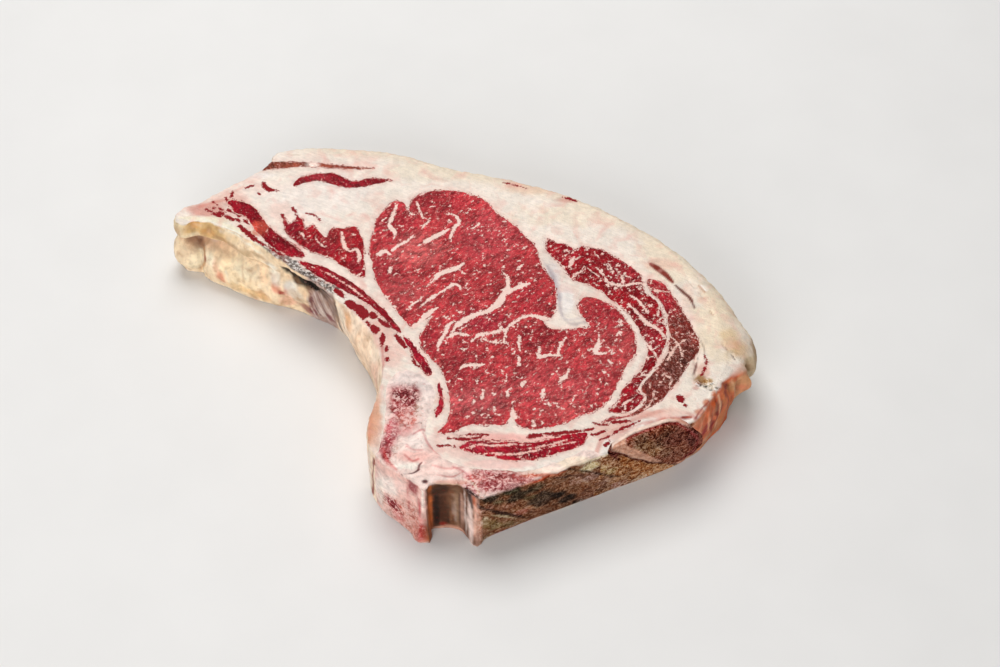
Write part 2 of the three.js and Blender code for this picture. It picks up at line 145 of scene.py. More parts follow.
def noise(points, size, seed):
    """Values from -1 to 1 that change over about size mm."""
    table = np.random.default_rng(seed).uniform(-1, 1, (NOISE_CELLS,) * 3)
    place = np.asarray(points, float) / size
    cell = np.floor(place).astype(int)
    part = place - cell
    part = part * part * (3 - 2 * part)
    total = np.zeros(place.shape[:-1])
    for corner in np.ndindex(2, 2, 2):
        weight = np.prod(np.where(corner, part, 1 - part), axis=-1)
        i, j, k = np.moveaxis((cell + corner) % NOISE_CELLS, -1, 0)
        total += weight * table[i, j, k]
    return total


def fade(value, start, end):
    """0 before start and 1 after end, smooth between them."""
    share = np.clip((value - start) / (end - start), 0, 1)
    return share * share * (3 - 2 * share)


def flat_points(xy):
    """Points on the plane z = 0, for the noise."""
    return np.column_stack([xy, np.zeros(len(xy))])


# %% [markdown]
# ## What runs through the slice
# Each muscle and bone is drawn as a short list of points on the cut face. The same outline cuts
# the muscle out of the slice and its pocket out of the fat, so the two fit without a gap. The
# outlines get a fine wobble, because a muscle's edge is never as smooth as a drawn curve.

# %% Outlines of the muscles
RIBEYE = [
    (-19.4, 60.2), (-15.5, 63.8), (-9.5, 65.8), (-3.5, 66), (3, 65), (9, 62.2),
    (13.6, 58.4), (16.6, 53.6), (20.6, 50.2), (25.2, 45.8), (29, 40.4), (32.6, 35.8),
    (34.8, 30), (35.4, 25), (38.4, 19.4), (41.2, 14.4), (41.8, 7), (41.4, 0),
    (39.4, -4.4), (36.6, -6.2), (39.6, -9.4), (45.6, -9.6), (51.6, -9.2), (55.4, -8.4),
    (53.2, -4.4), (50.8, -0.6), (51, 4), (53.8, 7.4), (58.4, 7), (63, 4),
    (67.4, 0.2), (70.4, -5), (73.2, -10.6), (74, -17), (73, -23.2), (69.8, -28.6),
    (67.2, -34.4), (64.8, -40.8), (61.8, -46.6), (58.4, -50.4), (51.8, -53.4), (45.4, -56.8),
    (38, -59.2), (31.6, -60.2), (26.2, -58.8), (23.2, -54.2), (20.2, -57.8), (12.6, -58.2),
    (5, -58.8), (0.6, -61.4), (-6.4, -61.8), (-3.2, -57.4), (-1.6, -52), (-1.8, -44.6),
    (-3, -37.2), (-5.4, -30.6), (-9.2, -25.6), (-13, -20.4), (-14.6, -14.8), (-12.6, -9.6),
    (-10, -3), (-13.4, -5.6), (-17.4, -9), (-21.4, -4), (-25.8, 2.6), (-30, 9),
    (-33.2, 15.6), (-34.8, 23.6), (-36.4, 32.6), (-35.6, 41), (-33.8, 49.8), (-30, 55.6),
    (-26.4, 59.6), (-22.8, 58.6), (-20.8, 54.4),
]
RIB_CAP = [
    (38.6, 39.2), (41.6, 36.6), (46, 35.2), (50.4, 32.4), (53, 34), (58.6, 33.2),
    (64.2, 30.8), (69.4, 26.8), (74, 22.4), (77, 19.4), (78, 13.8), (79, 9),
    (82.8, 5), (85.2, -0.6), (86, -7), (86.5, -13), (85.3, -19.6), (82.5, -26),
    (79.3, -31.6), (75.8, -36.3), (73.9, -41.4), (75.8, -45), (72.8, -49.6), (67, -52.8),
    (61.4, -51.4), (65.2, -47.4), (67.2, -42), (70.4, -37), (74.2, -32.2), (77.4, -26.6),
    (78.6, -19.6), (76.8, -13.6), (74.8, -8.4), (72.4, -3.4), (68.8, 1.6), (64.6, 5.6),
    (60.6, 9.8), (55.4, 14), (48.4, 16.4), (45.4, 21.6), (41.6, 27.4), (38.2, 32.6),
]
CAP_BORDER = [
    (79.8, 16), (83.6, 16.4), (87.6, 12), (90.6, 6.4), (93.4, 0.8), (96, -5.4),
    (98.4, -12), (99.6, -19), (97.6, -24), (94.6, -28), (91.6, -33.6), (88, -39.4),
    (84, -45), (78.6, -49.8), (72.4, -53.6), (65.6, -55.8), (58.4, -57.6), (62, -54.6),
    (68, -54.2), (74.4, -50.4), (77, -45.4), (75.4, -40.4), (78.8, -34.4), (83.6, -27.4),
    (86.9, -21.2), (88, -14.6), (87.4, -7), (86.7, 0), (84.2, 5.6), (81, 10),
]
SIDE_MUSCLE = [
    (-72.8, 43), (-73, 49.8), (-70.4, 47), (-67.8, 51.4), (-65.4, 49.2), (-63.8, 43.6),
    (-60.8, 46.6), (-58, 42.2), (-54.8, 39.2), (-52.6, 44.4), (-47.4, 43.8), (-43.2, 45.2),
    (-40.4, 40.6), (-38.4, 34.6), (-38.4, 27), (-38, 17.6), (-42, 18.6), (-47, 23.6),
    (-53.6, 28.6), (-61, 31.4), (-66.4, 35.6),
]
RIB_STRAP_UPPER = [
    (-98.4, 61), (-93.5, 61), (-88, 58.8), (-84.5, 54.4), (-81.7, 49.6), (-78.8, 45),
    (-73.4, 39.8), (-67.6, 34.4), (-63.4, 29.6), (-64.9, 28.2), (-70.8, 29), (-76.8, 33.4),
    (-82, 39.6), (-84.8, 43), (-87.4, 48.2), (-91.2, 52.6), (-96, 56),
]
RIB_STRAP_LOWER = [
    (-65.8, 26), (-59, 24.6), (-51.4, 20.8), (-43.6, 15.4), (-36.6, 8.6), (-30.8, 2),
    (-25.6, -4.6), (-22.2, -11.2), (-25.4, -8.8), (-30.4, -2.4), (-36.6, 3.6), (-44, 9.2),
    (-52, 14.6), (-60, 20),
]
NECK_STRAP = [
    (-21, -13.6), (-17.4, -16.6), (-13.6, -23), (-10.6, -27.4), (-8.8, -32.6),
    (-10.6, -34), (-13.6, -29.2), (-17.4, -22.4),
]
NECK_STRAP_LOWER = [
    (-6, -36.8), (-4.6, -42), (-4, -47.4), (-4.6, -51.2), (-7, -54.6), (-7.4, -52),
    (-6.2, -47.6), (-6.2, -42.4), (-6.8, -38),
]
SKIN_MUSCLE_OUTER = [
    (-89, 78.4), (-85, 83.6), (-79.6, 82.6), (-72, 82.2), (-64, 82), (-54, 80.8),
    (-44, 79.4), (-36, 78), (-46, 77.8), (-56, 78.8), (-66, 79.4), (-76, 78.6),
]
SKIN_MUSCLE_INNER = [
    (-70, 68.4), (-68.2, 73.2), (-62, 75.2), (-53.4, 75.6), (-48.6, 73), (-44.4, 70.8),
    (-37, 72.2), (-27.6, 71.2), (-34, 69.4), (-42, 67.2), (-50.4, 68), (-59, 71), (-65, 70.4),
]
CHINE_MUSCLE = [
    (2.6, -69.2), (6.4, -66), (13.6, -65.6), (21, -65.4), (29, -66), (37.6, -64.6),
    (46, -62.6), (53, -62.4), (51.4, -67.4), (43, -71.2), (33, -74.6), (22.6, -75), (11.6, -72.6),
]

# %% Outlines of the bones, which run on past the wall and are cut off by it
VERTEBRA = [
    (-26.4, -37), (-21.4, -31.8), (-15, -32.2), (-10.6, -36.4), (-8, -42.4),
    (-8.6, -50.6), (-11, -58.6), (-9.4, -67), (-3.4, -74.4), (6, -78.6), (17, -79.6),
    (28, -80.4), (40, -76.6), (54, -70.6), (60, -76), (56, -90), (20, -112),
    (-18, -110), (-44, -92), (-42, -79.4), (-31.4, -74.6), (-28.4, -65.4),
    (-27.4, -55), (-27, -45),
]
FEATHER_BONE = [
    (62, -68.4), (67, -63.8), (73.4, -60.2), (80, -57.2), (86.6, -55.4), (92, -56.6),
    (96, -63), (90, -74), (70, -82), (61, -79),
]

# %% The fine loop that each outline becomes
LOOP_STEP = 0.7  # mm between two points of a loop
WOBBLE = {3.2: 0.34, 1.3: 0.24}  # mm of wobble for each wavelength in mm


def outward(points):
    """Unit vectors that point out of a clockwise loop."""
    along = np.roll(points, -1, axis=0) - np.roll(points, 1, axis=0)
    along /= np.linalg.norm(along, axis=1, keepdims=True) + 1e-9
    return np.column_stack([-along[:, 1], along[:, 0]])


def doubled_area(loop):
    """Twice the area inside a loop, and less than zero if it runs clockwise."""
    x, y = loop.T
    return np.sum(x * np.roll(y, -1) - np.roll(x, -1) * y)


def fine_loop(outline, seed):
    loop = smooth_rows(outline, LOOP_STEP)
    if doubled_area(loop) > 0:
        loop = loop[::-1]
    wobble = sum(reach * noise(flat_points(loop), size, seed) for size, reach in WOBBLE.items())
    return loop + outward(loop) * wobble[:, None]


OUTLINES = {
    "ribeye_muscle": RIBEYE,
    "rib_cap_muscle": RIB_CAP,
    "cap_border_muscle": CAP_BORDER,
    "side_muscle": SIDE_MUSCLE,
    "rib_strap_upper": RIB_STRAP_UPPER,
    "rib_strap_lower": RIB_STRAP_LOWER,
    "neck_strap": NECK_STRAP,
    "neck_strap_lower": NECK_STRAP_LOWER,
    "skin_muscle_outer": SKIN_MUSCLE_OUTER,
    "skin_muscle_inner": SKIN_MUSCLE_INNER,
    "chine_muscle": CHINE_MUSCLE,
    "vertebra": VERTEBRA,
    "feather_bone": FEATHER_BONE,
}
loops = {name: fine_loop(outline, i + 1) for i, (name, outline) in enumerate(OUTLINES.items())}
print(len(loops), "outlines with", sum(len(loop) for loop in loops.values()), "points in all")

# %% [markdown]
# Two pieces don't run straight down: the lower strap follows the hollow under the torn skin, and
# the spine bone was cut on a slant. Their outline moves sideways on its way to the table.

# %% How far an outline has moved at the table
SLANT = {name: np.zeros(2) for name in OUTLINES}
SLANT["rib_strap_lower"] = np.array([2.4, 2.6])  # mm in x and y
SLANT["feather_bone"] = np.array([18.0, 8.0])


def drawn_place(points, name):
    """Where the points of a piece lie on the grid once its slant is taken away."""
    return points[:, :2] - (THICKNESS - points[:, 2:]) * (SLANT[name] / THICKNESS)


# %% [markdown]
# ## Distance fields
# A vein of fat, a seam or a scrap of red meat is a stroke: a line with a width. For each point of a
# mesh one function finds how far it lies from the nearest stroke, in mm, and less than zero inside
# it. The mesh keeps that number, and the material turns it into a crisp, slightly ragged edge at
# any resolution. A stroke only touches the points near it, which keeps this fast.

# %% Distance from points to strokes
STROKE_STEP = 0.9  # mm between two points of a drawn stroke


def stroke_field(xy, strokes, reach=5.0):
    """Distance from each point to the edge of the nearest stroke, and at most reach."""
    field = np.full(len(xy), float(reach))
    for stroke in strokes:
        low = stroke[:, :2].min(axis=0) - reach
        high = stroke[:, :2].max(axis=0) + reach
        near = np.nonzero(np.all((xy > low) & (xy < high), axis=1))[0]
        if not len(near):
            continue
        start, end = stroke[:-1], stroke[1:]
        along = end[:, :2] - start[:, :2]
        length = np.maximum((along ** 2).sum(axis=1), 1e-9)
        gap = xy[near, None, :] - start[None, :, :2]
        share = np.clip((gap * along).sum(axis=2) / length, 0, 1)
        away = np.linalg.norm(gap - share[..., None] * along, axis=2)
        width = start[:, 2] + share * (end[:, 2] - start[:, 2])
        field[near] = np.minimum(field[near], (away - width).min(axis=1))
    return field


def loop_strokes(loop, run=10):
    """A closed loop as short strokes without width."""
    closed = np.vstack([loop, loop[:1]])
    thin = np.column_stack([closed, np.zeros(len(closed))])
    return [thin[i:i + run + 1] for i in range(0, len(loop), run)]


def stroke(points, *widths):
    """A smooth stroke through points. The widths, in mm, are spread evenly along it."""
    path = smooth_rows(points, STROKE_STEP, closed=False)
    share = np.linspace(0, 1, len(path))
    half = np.interp(share, np.linspace(0, 1, len(widths)), widths) / 2
    return np.column_stack([path, half])


seam_strokes = [part for loop in loops.values() for part in loop_strokes(loop)]

# %% [markdown]
# ## The cut face
# A knife leaves a shallow groove along each seam between muscle and fat, and small pits where it
# tore the fat. The whole face also rises and falls by half a millimetre, and it drops towards the
# tail. A height for each point gives all this.

# %% Height of the cut face
GROOVE_DEPTH = 0.4  # mm
GROOVE_REACH = 1.1  # mm
FIBRE_RELIEF = {2.6: 0.07, 1.1: 0.05}  # mm of relief for each wavelength in mm
PIT_DEPTH = 0.9  # mm
FACE_PITS = [  # a path and widths in mm
    ([(50.6, 40.4), (51.6, 39.8)], 0.5, 0.5),
    ([(96.8, 16), (98.6, 13.6), (99.6, 11.6)], 0.6, 0.9, 0.5),
    ([(102, 8.4), (103, 6.8)], 0.8, 0.7), ([(105.6, -1.4), (106.4, -2.6)], 0.7, 0.6),
    ([(109.4, -18.2), (111.2, -21)], 0.4, 0.4), ([(112.6, -23.2), (114, -26)], 0.7, 0.4),
    ([(99.4, -36), (101.4, -38.6), (103, -40.4)], 1.4, 2, 1.2),
    ([(97.4, -25), (98, -31), (97, -35)], 0.5, 0.6, 0.4),
]


def face_height(xy):
    x, y = xy.T
    # The two waves reach 1.5 at most, and 0.66 of that is one swell.
    slow = np.sin(x / 17 + 0.6) * np.cos(y / 21) + 0.5 * np.sin((x - y) / 9.5)
    height = THICKNESS + SWELL * 0.66 * slow - TAIL_DROP * fade(-x, 70, 122)
    seam = stroke_field(xy, seam_strokes, 4.0)
    height -= GROOVE_DEPTH * np.exp(-((seam / GROOVE_REACH) ** 2))
    for size, depth in FIBRE_RELIEF.items():
        height += depth * noise(flat_points(xy), size, 40)
    pits = stroke_field(xy, [stroke(*pit) for pit in FACE_PITS], 3.0)
    return height - PIT_DEPTH * (1 - fade(pits, -0.3, 1.0))


# %% [markdown]
# ## Meshes from arrays
# Big meshes are quickest as arrays of points and faces. This helper makes the object, in metres and
# moved from the drawing grid to the model.

# %% An object from points and faces
def to_object(name, points, faces):
    points = np.asarray(points, float)
    placed = np.column_stack([points[:, :2] + SHIFT, points[:, 2]]) * TO_METRES
    mesh = bpy.data.meshes.new(name)
    mesh.from_pydata(placed.tolist(), [], faces)
    piece = bpy.data.objects.new(name, mesh)
    bpy.context.scene.collection.objects.link(piece)
    return piece


def grid_quads(rows, columns, first=0):
    """Faces of a grid of points, row by row."""
    r, c = np.meshgrid(np.arange(rows - 1), np.arange(columns - 1), indexing="ij")
    a = (first + r * columns + c).ravel()
    return np.column_stack([a, a + 1, a + columns + 1, a + columns])


# %% [markdown]
# ## The slab
# Every piece is cut from a slab: a fine grid at the cut face, a grid twice as coarse at the table,
# and plain sides, which the cut takes away. Each coarse side face meets two fine ones.

# %% A slab with the cut face on top
def slab(name, low, high, step):
    half = np.ceil((high - low) / (2 * step)).astype(int)
    columns, rows = 2 * half + 1
    x = low[0] + step * np.arange(columns)
    y = low[1] + step * np.arange(rows)
    top_xy = np.array([(a, b) for b in y for a in x])
    floor_xy = np.array([(a, b) for b in y[::2] for a in x[::2]])
    top = np.column_stack([top_xy, face_height(top_xy)])
    floor = np.column_stack([floor_xy, np.zeros(len(floor_xy))])
    faces = grid_quads(rows, columns).tolist()
    faces += grid_quads(half[1] + 1, half[0] + 1, len(top))[:, ::-1].tolist()
    upper = np.arange(len(top)).reshape(rows, columns)
    lower = len(top) + np.arange(len(floor)).reshape(half[1] + 1, half[0] + 1)
    sides = [
        (upper[0], lower[0]), (upper[:, -1], lower[:, -1]),
        (upper[-1, ::-1], lower[-1, ::-1]), (upper[::-1, 0], lower[::-1, 0]),
    ]
    for fine, coarse in sides:
        for i in range(len(coarse) - 1):
            a, b, c = fine[2 * i:2 * i + 3].tolist()
            d, e = coarse[i:i + 2].tolist()
            faces += [(d, e, b), (d, b, a), (e, c, b)]
    return to_object(name, np.vstack([top, floor]), faces)


# %% [markdown]
# ## The outer wall
# The wall is a stack of rings round the slice. Each ring stands out by the amounts in the table,
# and fine lumps and wrinkles are added by smooth noise, stronger where the fat is loose.

# %% How far the wall stands out
WALL_STEP = 0.95  # mm between two points of a ring
RINGS = 34
RIM_STEPS = 6
BULGE_POWER = math.log(0.5) / math.log(BULGE_HEIGHT)
ROLL_BLUR = np.linspace(-0.045, 0.045, 7)  # shares of the thickness that soften the roll


def wall_out(share, belly, foot, roll):
    """How far the wall stands out, in mm, at a share of the thickness."""
    bulge = belly * np.sin(np.pi * share ** BULGE_POWER)
    spread = foot * (1 - share) ** 2
    section = [np.interp(share + step, ROLL_SHARES, ROLL_OUT) for step in ROLL_BLUR]
    return bulge + spread + roll * np.mean(section, axis=0)


# x, y, height, reach along the wall, reach up and down, mm outward
WALL_BUMPS = [
    (121.2, -25.6, 23, 2.1, 9, -5), (117, -32.6, 17, 2.2, 9, -4.4),
    (113, -37.5, 20, 2.5, 9, -1.4), (109, -42, 12, 3, 8, -1.2),
    (119.4, -29.2, 20, 1.6, 6, 1.4), (104, -46, 24, 1.6, 10, -0.8),
    (-109.4, 45, 8, 1.2, 10, -1.8), (-98, 41, 9, 6, 6, 0.9), (-87, 36.5, 13, 5, 5, 0.8),
    (-103.5, 42, 8, 3, 8, 0.6), (-75, 27.5, 17, 4, 6, 1.5), (-69, 24.5, 11, 3.5, 5, 1),
    (-70.5, 26, 24, 4.5, 3, -3), (-64.5, 23, 21.5, 4, 3, -2.6),
    (-59.5, 18.5, 23.5, 3, 4, -2.2), (-57.5, 16, 12, 1.4, 9, -1),
    (-54, 12, 14, 1.2, 10, -0.8), (-50.2, 8, 15, 1.2, 12, -1.2),
    (-112, 51, 18.5, 4, 2, -1.6), (-31.6, -48, 14, 5, 10, 0.8), (-32.4, -70.6, 14, 1.2, 14, -0.8),
]


def wall_relief(points):
    """Lumps and wrinkles of the outer wall, in mm outward."""
    x, y, z = points.T
    bumps = np.zeros(len(points))
    for at_x, at_y, at_z, along, upward, mm in WALL_BUMPS:
        away = np.hypot(x - at_x, y - at_y) / along
        bumps += mm * np.exp(-(away ** 2) - ((z - at_z) / upward) ** 2)
    # The rib side is loose, the end of the cap is lumpy, and the sawn wall is flat but rough.
    loose = fade(-x, 40, 60) * fade(56 - y, 0, 6)
    cap_end = fade(x, 94, 98) * fade(-14 - y, 0, 8)
    sawn = fade(SAW_SLOPE * x - y, 92, 95)
    lumps = 0.9 * noise(points, 13, 51) + 0.55 * noise(points, 5.5, 52)
    wrinkles = noise(points * [1, 1, 0.35], 3.2, 53)
    grain = noise(points, 1.7, 54)
    soft = (0.35 + 0.9 * loose + 0.5 * cap_end) * lumps
    soft += (0.15 + 0.35 * loose + 0.5 * cap_end) * wrinkles + 0.12 * grain
    frayed = fade(z, 22, 29) * (0.3 * grain + 0.25 * noise(points, 1.1, 56))
    saw_marks = 0.34 * grain + 0.3 * noise(points, 4.2, 55)
    return bumps + (1 - sawn) * (soft + frayed) + sawn * saw_marks


# %% The slice as one closed body inside its wall
def wall_body():
    rows = smooth_rows(WALL, WALL_STEP)
    xy, (belly, foot, roll, rim) = rows[:, :2], rows[:, 2:].T
    out = outward(xy)
    rings = []
    for share in np.linspace(0, 1, RINGS):
        level = share * (1 - rim / THICKNESS)
        reach = wall_out(level, belly, foot, roll)
        rings.append(np.column_stack([xy + out * reach[:, None], level * THICKNESS]))
    # The rim is rounded: it turns in to half its radius inside the outline.
    start = wall_out(1 - rim / THICKNESS, belly, foot, roll)
    for turn in np.linspace(0, 1, RIM_STEPS)[1:] * math.pi / 2:
        inset = start + (-0.5 * rim - start) * (1 - math.cos(turn))
        height = THICKNESS - rim * (1 - math.sin(turn))
        rings.append(np.column_stack([xy + out * inset[:, None], height]))
    for ring in rings[1:]:
        ring[:, :2] += out * wall_relief(ring)[:, None]
    rings.append(rings[-1] + [0, 0, HEADROOM])
    count = len(xy)
    faces = []
    for r in range(len(rings) - 1):
        a = np.arange(count) + r * count
        b = np.roll(a, -1)
        faces += np.column_stack([a, a + count, b + count, b]).tolist()
    faces.append(list(range(count)))
    faces.append(list(range((len(rings) - 1) * count, len(rings) * count))[::-1])
    return to_object("wall", np.vstack(rings), faces)


# %% [markdown]
# ## Cutting the pieces
# A prism on a piece's outline cuts it out of the slab, as a pastry cutter would. Pieces that reach
# the outside are also cut by the wall. Blender's Manifold solver is quick even on meshes as dense
# as these, but it can leave a pair of faces back to back that touch nothing else.

# %% A prism on a loop, and a boolean that is applied at once
def cutter(name):
    """A prism on the loop of a piece, through the whole slice and a little more."""
    loop = loops[name]
    count = len(loop)
    slope = SLANT[name] / THICKNESS
    ends = [
        np.column_stack([loop + slope * (THICKNESS - height), np.full(count, height)])
        for height in (THICKNESS + HEADROOM, -HEADROOM)
    ]
    a = np.arange(count)
    b = np.roll(a, -1)
    faces = np.column_stack([a, b, b + count, a + count]).tolist()
    faces += [list(range(count))[::-1], list(range(count, 2 * count))]
    return to_object("cutter", np.vstack(ends), faces)


def cut(piece, operation, tool, keep_tool=False):
    """Apply a boolean to a piece, and then delete its tool unless that is kept."""
    modifier = piece.modifiers.new("cut", "BOOLEAN")
    modifier.operation = operation
    modifier.solver = "MANIFOLD"
    modifier.object = tool
    depsgraph = bpy.context.evaluated_depsgraph_get()
    result = bpy.data.meshes.new_from_object(piece.evaluated_get(depsgraph))
    piece.modifiers.clear()
    old = piece.data
    piece.data = result
    result.name = piece.name
    bpy.data.meshes.remove(old)
    if not keep_tool:
        mesh = tool.data
        bpy.data.objects.remove(tool)
        bpy.data.meshes.remove(mesh)


def drop_slivers(piece):
    """Delete pairs of faces that lie on the same corners and touch nothing else."""
    mesh = bmesh.new()
    mesh.from_mesh(piece.data)
    slivers = [
        face for face in mesh.faces
        if all(set(other.verts) == set(face.verts)
               for edge in face.edges for other in edge.link_faces)
    ]
    bmesh.ops.delete(mesh, geom=slivers, context="FACES")
    mesh.to_mesh(piece.data)
    mesh.free()


def points_of(piece):
    """The points of a piece in mm on the drawing grid."""
    flat = np.empty(3 * len(piece.data.vertices))
    piece.data.vertices.foreach_get("co", flat)
    points = flat.reshape(-1, 3) / TO_METRES
    points[:, :2] -= SHIFT
    return points


# %% Cut every muscle and bone
MUSCLE_STEP = 0.42  # mm, of the grid at the cut face
FAT_STEP = 0.58
REACH_WALL = {"vertebra", "feather_bone", "skin_muscle_outer", "rib_strap_lower"}

wall = wall_body()
pieces = {}
for name, loop in loops.items():
    both_ends = np.vstack([loop, loop + SLANT[name]])
    piece = slab(name + "_cut", both_ends.min(axis=0) - 1, both_ends.max(axis=0) + 1, MUSCLE_STEP)
    cut(piece, "INTERSECT", cutter(name))
    if name in REACH_WALL:
        cut(piece, "INTERSECT", wall, keep_tool=True)
    drop_slivers(piece)
    pieces[name] = piece
    print(name, len(piece.data.polygons), "faces")

# %% [markdown]
# The fat is what is left of the slice once every pocket is cut out of it.

# %% The fat
outside = points_of(wall)[:, :2]
fat = slab("fat_cut", outside.min(axis=0) - 1, outside.max(axis=0) + 1, FAT_STEP)
cut(fat, "INTERSECT", wall)
for name in loops:
    cut(fat, "DIFFERENCE", cutter(name))
drop_slivers(fat)
pieces["fat"] = fat
print("fat", len(fat.data.polygons), "faces")

# %% [markdown]
# ## Colours
# Every colour below is written as an sRGB hex value, the way a colour picker shows it. Blender
# mixes light in linear values, and one function converts them.

# %% From an sRGB hex value to linear red, green and blue
def linear(hex_colour):
    value = np.array([int(hex_colour[i:i + 2], 16) for i in (1, 3, 5)]) / 255
    return np.where(value <= 0.04045, value / 12.92, ((value + 0.055) / 1.055) ** 2.4)


# %% [markdown]
# ## Marbling
# Marbling is fat that grows between the bundles of a muscle. The broad veins each have a place of
# their own, so they are listed one by one, with a width that swells and tapers. Between them lie
# hundreds of small flecks that follow the grain. Those are drawn at random, from one seed.

# %% Veins of the eye of the rib: a path and widths in mm
EYE_VEINS = [
    ([(-25.5, 57), (-27, 51.5), (-27.9, 48.5), (-28.5, 45.5), (-27, 43.2), (-26, 41),
      (-26.5, 37.6)], 0.8, 1.4, 2.6, 1.6, 2.4, 1.4, 0.6),
    ([(-20.5, 54), (-18.8, 51.5)], 1.2, 0.6),
    ([(-17, 59), (-16, 55), (-14.4, 50.3), (-14, 47.5)], 0.5, 0.8, 0.7, 0.4),
    ([(-11, 50), (-12.5, 47), (-14.7, 43.8)], 0.6, 1.4, 0.6),
    ([(-26.5, 32), (-23.5, 35), (-20.6, 36.8), (-17.7, 40.8)], 1.6, 1.4, 1.2, 0.5),
    ([(-15.6, 34.4), (-11.2, 37.6), (-7, 40.6), (-3.5, 43.3)], 0.6, 2.2, 2.6, 0.8),
    ([(-4.5, 51.8), (-2, 52), (0, 50.5), (1.2, 48), (-0.6, 44.4), (-2, 41.2), (-2.4, 38.5)],
     0.8, 1.4, 1.6, 1.8, 1.5, 1.8, 1.2),
    ([(2, 53.8), (0.5, 52)], 0.9, 0.5), ([(9.4, 46.5), (7.6, 44.4), (5.3, 43.8)], 1.2, 0.9, 0.5),
    ([(-33, 29.7), (-30, 31.5), (-27.5, 29.5)], 1.6, 2.2, 1.2),
    ([(3, 24.5), (0.3, 22), (-3.8, 20.3), (-6.8, 19.1), (-8.5, 16.5), (-11.8, 12.6)],
     1.2, 2.6, 2.2, 2.6, 1, 0.6),
    ([(-6.5, 23.2), (-6.5, 20)], 0.6, 1), ([(1, 22), (3.8, 19.1)], 1, 0.6),
    ([(2.5, 11), (0, 13.5), (-3.2, 11.5), (-6.8, 8.8), (-10.9, 5.3), (-14.1, 1.8)],
     0.6, 1.7, 1.4, 1.3, 1, 0.6),
    ([(-13.2, 7.4), (-15.9, 4.4), (-19.4, 1.5)], 0.5, 0.9, 0.5),
    ([(-7, 1.2), (-10, -0.9), (-12.4, -3.8), (-14, -7), (-16, -9)], 0.7, 2.4, 3, 3.4, 3.8),
    ([(-27.4, 22.4), (-27.5, 20)], 1.4, 1.6),
    ([(19.5, 20), (21.5, 17), (21.4, 11), (20, 7.5), (18.8, 4.4), (16.5, 1.5), (12.9, -1.5),
      (9.4, -2.6), (5.3, -5), (1.8, -7.6), (-0.9, -11.5)],
     0.8, 1.6, 2.2, 2.6, 3.2, 3, 2.4, 2.4, 3, 2.6, 1.2),
    ([(20.5, 7.8), (26.5, 11.8), (31, 13.5)], 1.8, 2.4, 1.4),
    ([(25.6, 20.9), (28.5, 24.4)], 0.7, 0.9),
    ([(0, -6.2), (-2.4, -8.2), (-3.8, -12), (-5, -15), (-6.5, -18.5), (-7, -21.5)],
     1, 2, 2, 1.8, 1.6, 0.8),
    ([(-2.9, -15), (0, -12.9), (5.3, -13.7)], 1.4, 1.9, 1),
    ([(7, -16.8), (9.7, -13.8), (14.1, -12.6), (17.9, -11.5), (19.1, -9.1)],
     0.8, 1.5, 1.8, 2, 0.9),
    ([(11.8, -15.6), (15.9, -17), (21.2, -17.4)], 0.6, 1, 0.6),
    ([(20, -17), (20.6, -13), (22, -9.4), (24.7, -6.8), (27.6, -4.4), (31, -3.3), (36, -4.5),
      (40, -5.5)], 1, 1.2, 1.2, 1.4, 1.6, 2, 2.4, 2.6),
    ([(26.4, -14), (26.2, -19), (26.5, -21)], 0.8, 1.7, 0.8),
    ([(26.2, -25), (26.2, -28.6)], 1, 1.5),
    ([(34.4, -20.5), (34.6, -24.6), (38, -23.8), (43.2, -23.8)], 1, 1.8, 1.6, 0.9),
    ([(42, -23), (43, -19), (45.4, -14.5)], 1.2, 1.6, 0.8),
    ([(2.6, -30.6), (4.7, -28.8), (8, -28.7), (11.8, -28.4)], 0.8, 1.6, 1.4, 0.7),
    ([(42, -37.4), (44, -35.5), (45.3, -33.8), (46.5, -30)], 1, 1.8, 1.5, 0.7),
    ([(35.8, -41.3), (35.6, -44.4)], 1.4, 2), ([(11.8, -41), (11.2, -45)], 0.9, 1.3),
    ([(27.5, -37.5), (27.5, -39.3)], 1.4, 1.6), ([(21.5, -42), (21.5, -44)], 1.2, 1.4),
    ([(21.2, -33.2), (20.9, -37)], 0.6, 0.9), ([(16.2, -49.5), (15.9, -51.5)], 1, 1.2),
    ([(8.2, -46), (7.9, -48)], 0.8, 1), ([(32, -56.6), (32, -58.4)], 1.6, 1.8),
    ([(41.5, -49.5), (43.8, -50.8)], 1.3, 1), ([(38, -47.8), (38.8, -49)], 1, 1),
    ([(59.1, -12), (58.5, -17.9), (57.6, -22.6), (61.2, -22.4)], 0.8, 1.4, 2.6, 1),
    ([(62.6, -26.4), (63.4, -27.6)], 1.2, 1.2), ([(60.2, -31.4), (60.8, -32.6)], 1, 1),
    ([(58.8, -36.2), (59.2, -37.8)], 1, 1), ([(67.2, -20.4), (67.8, -21.6)], 0.9, 0.9),
    ([(67.8, -5.4), (68.2, -6.6)], 0.8, 0.8), ([(67.3, -12), (67.7, -13)], 0.8, 0.8),
    ([(24, -54.5), (23.4, -49.5)], 3, 0.6),
]

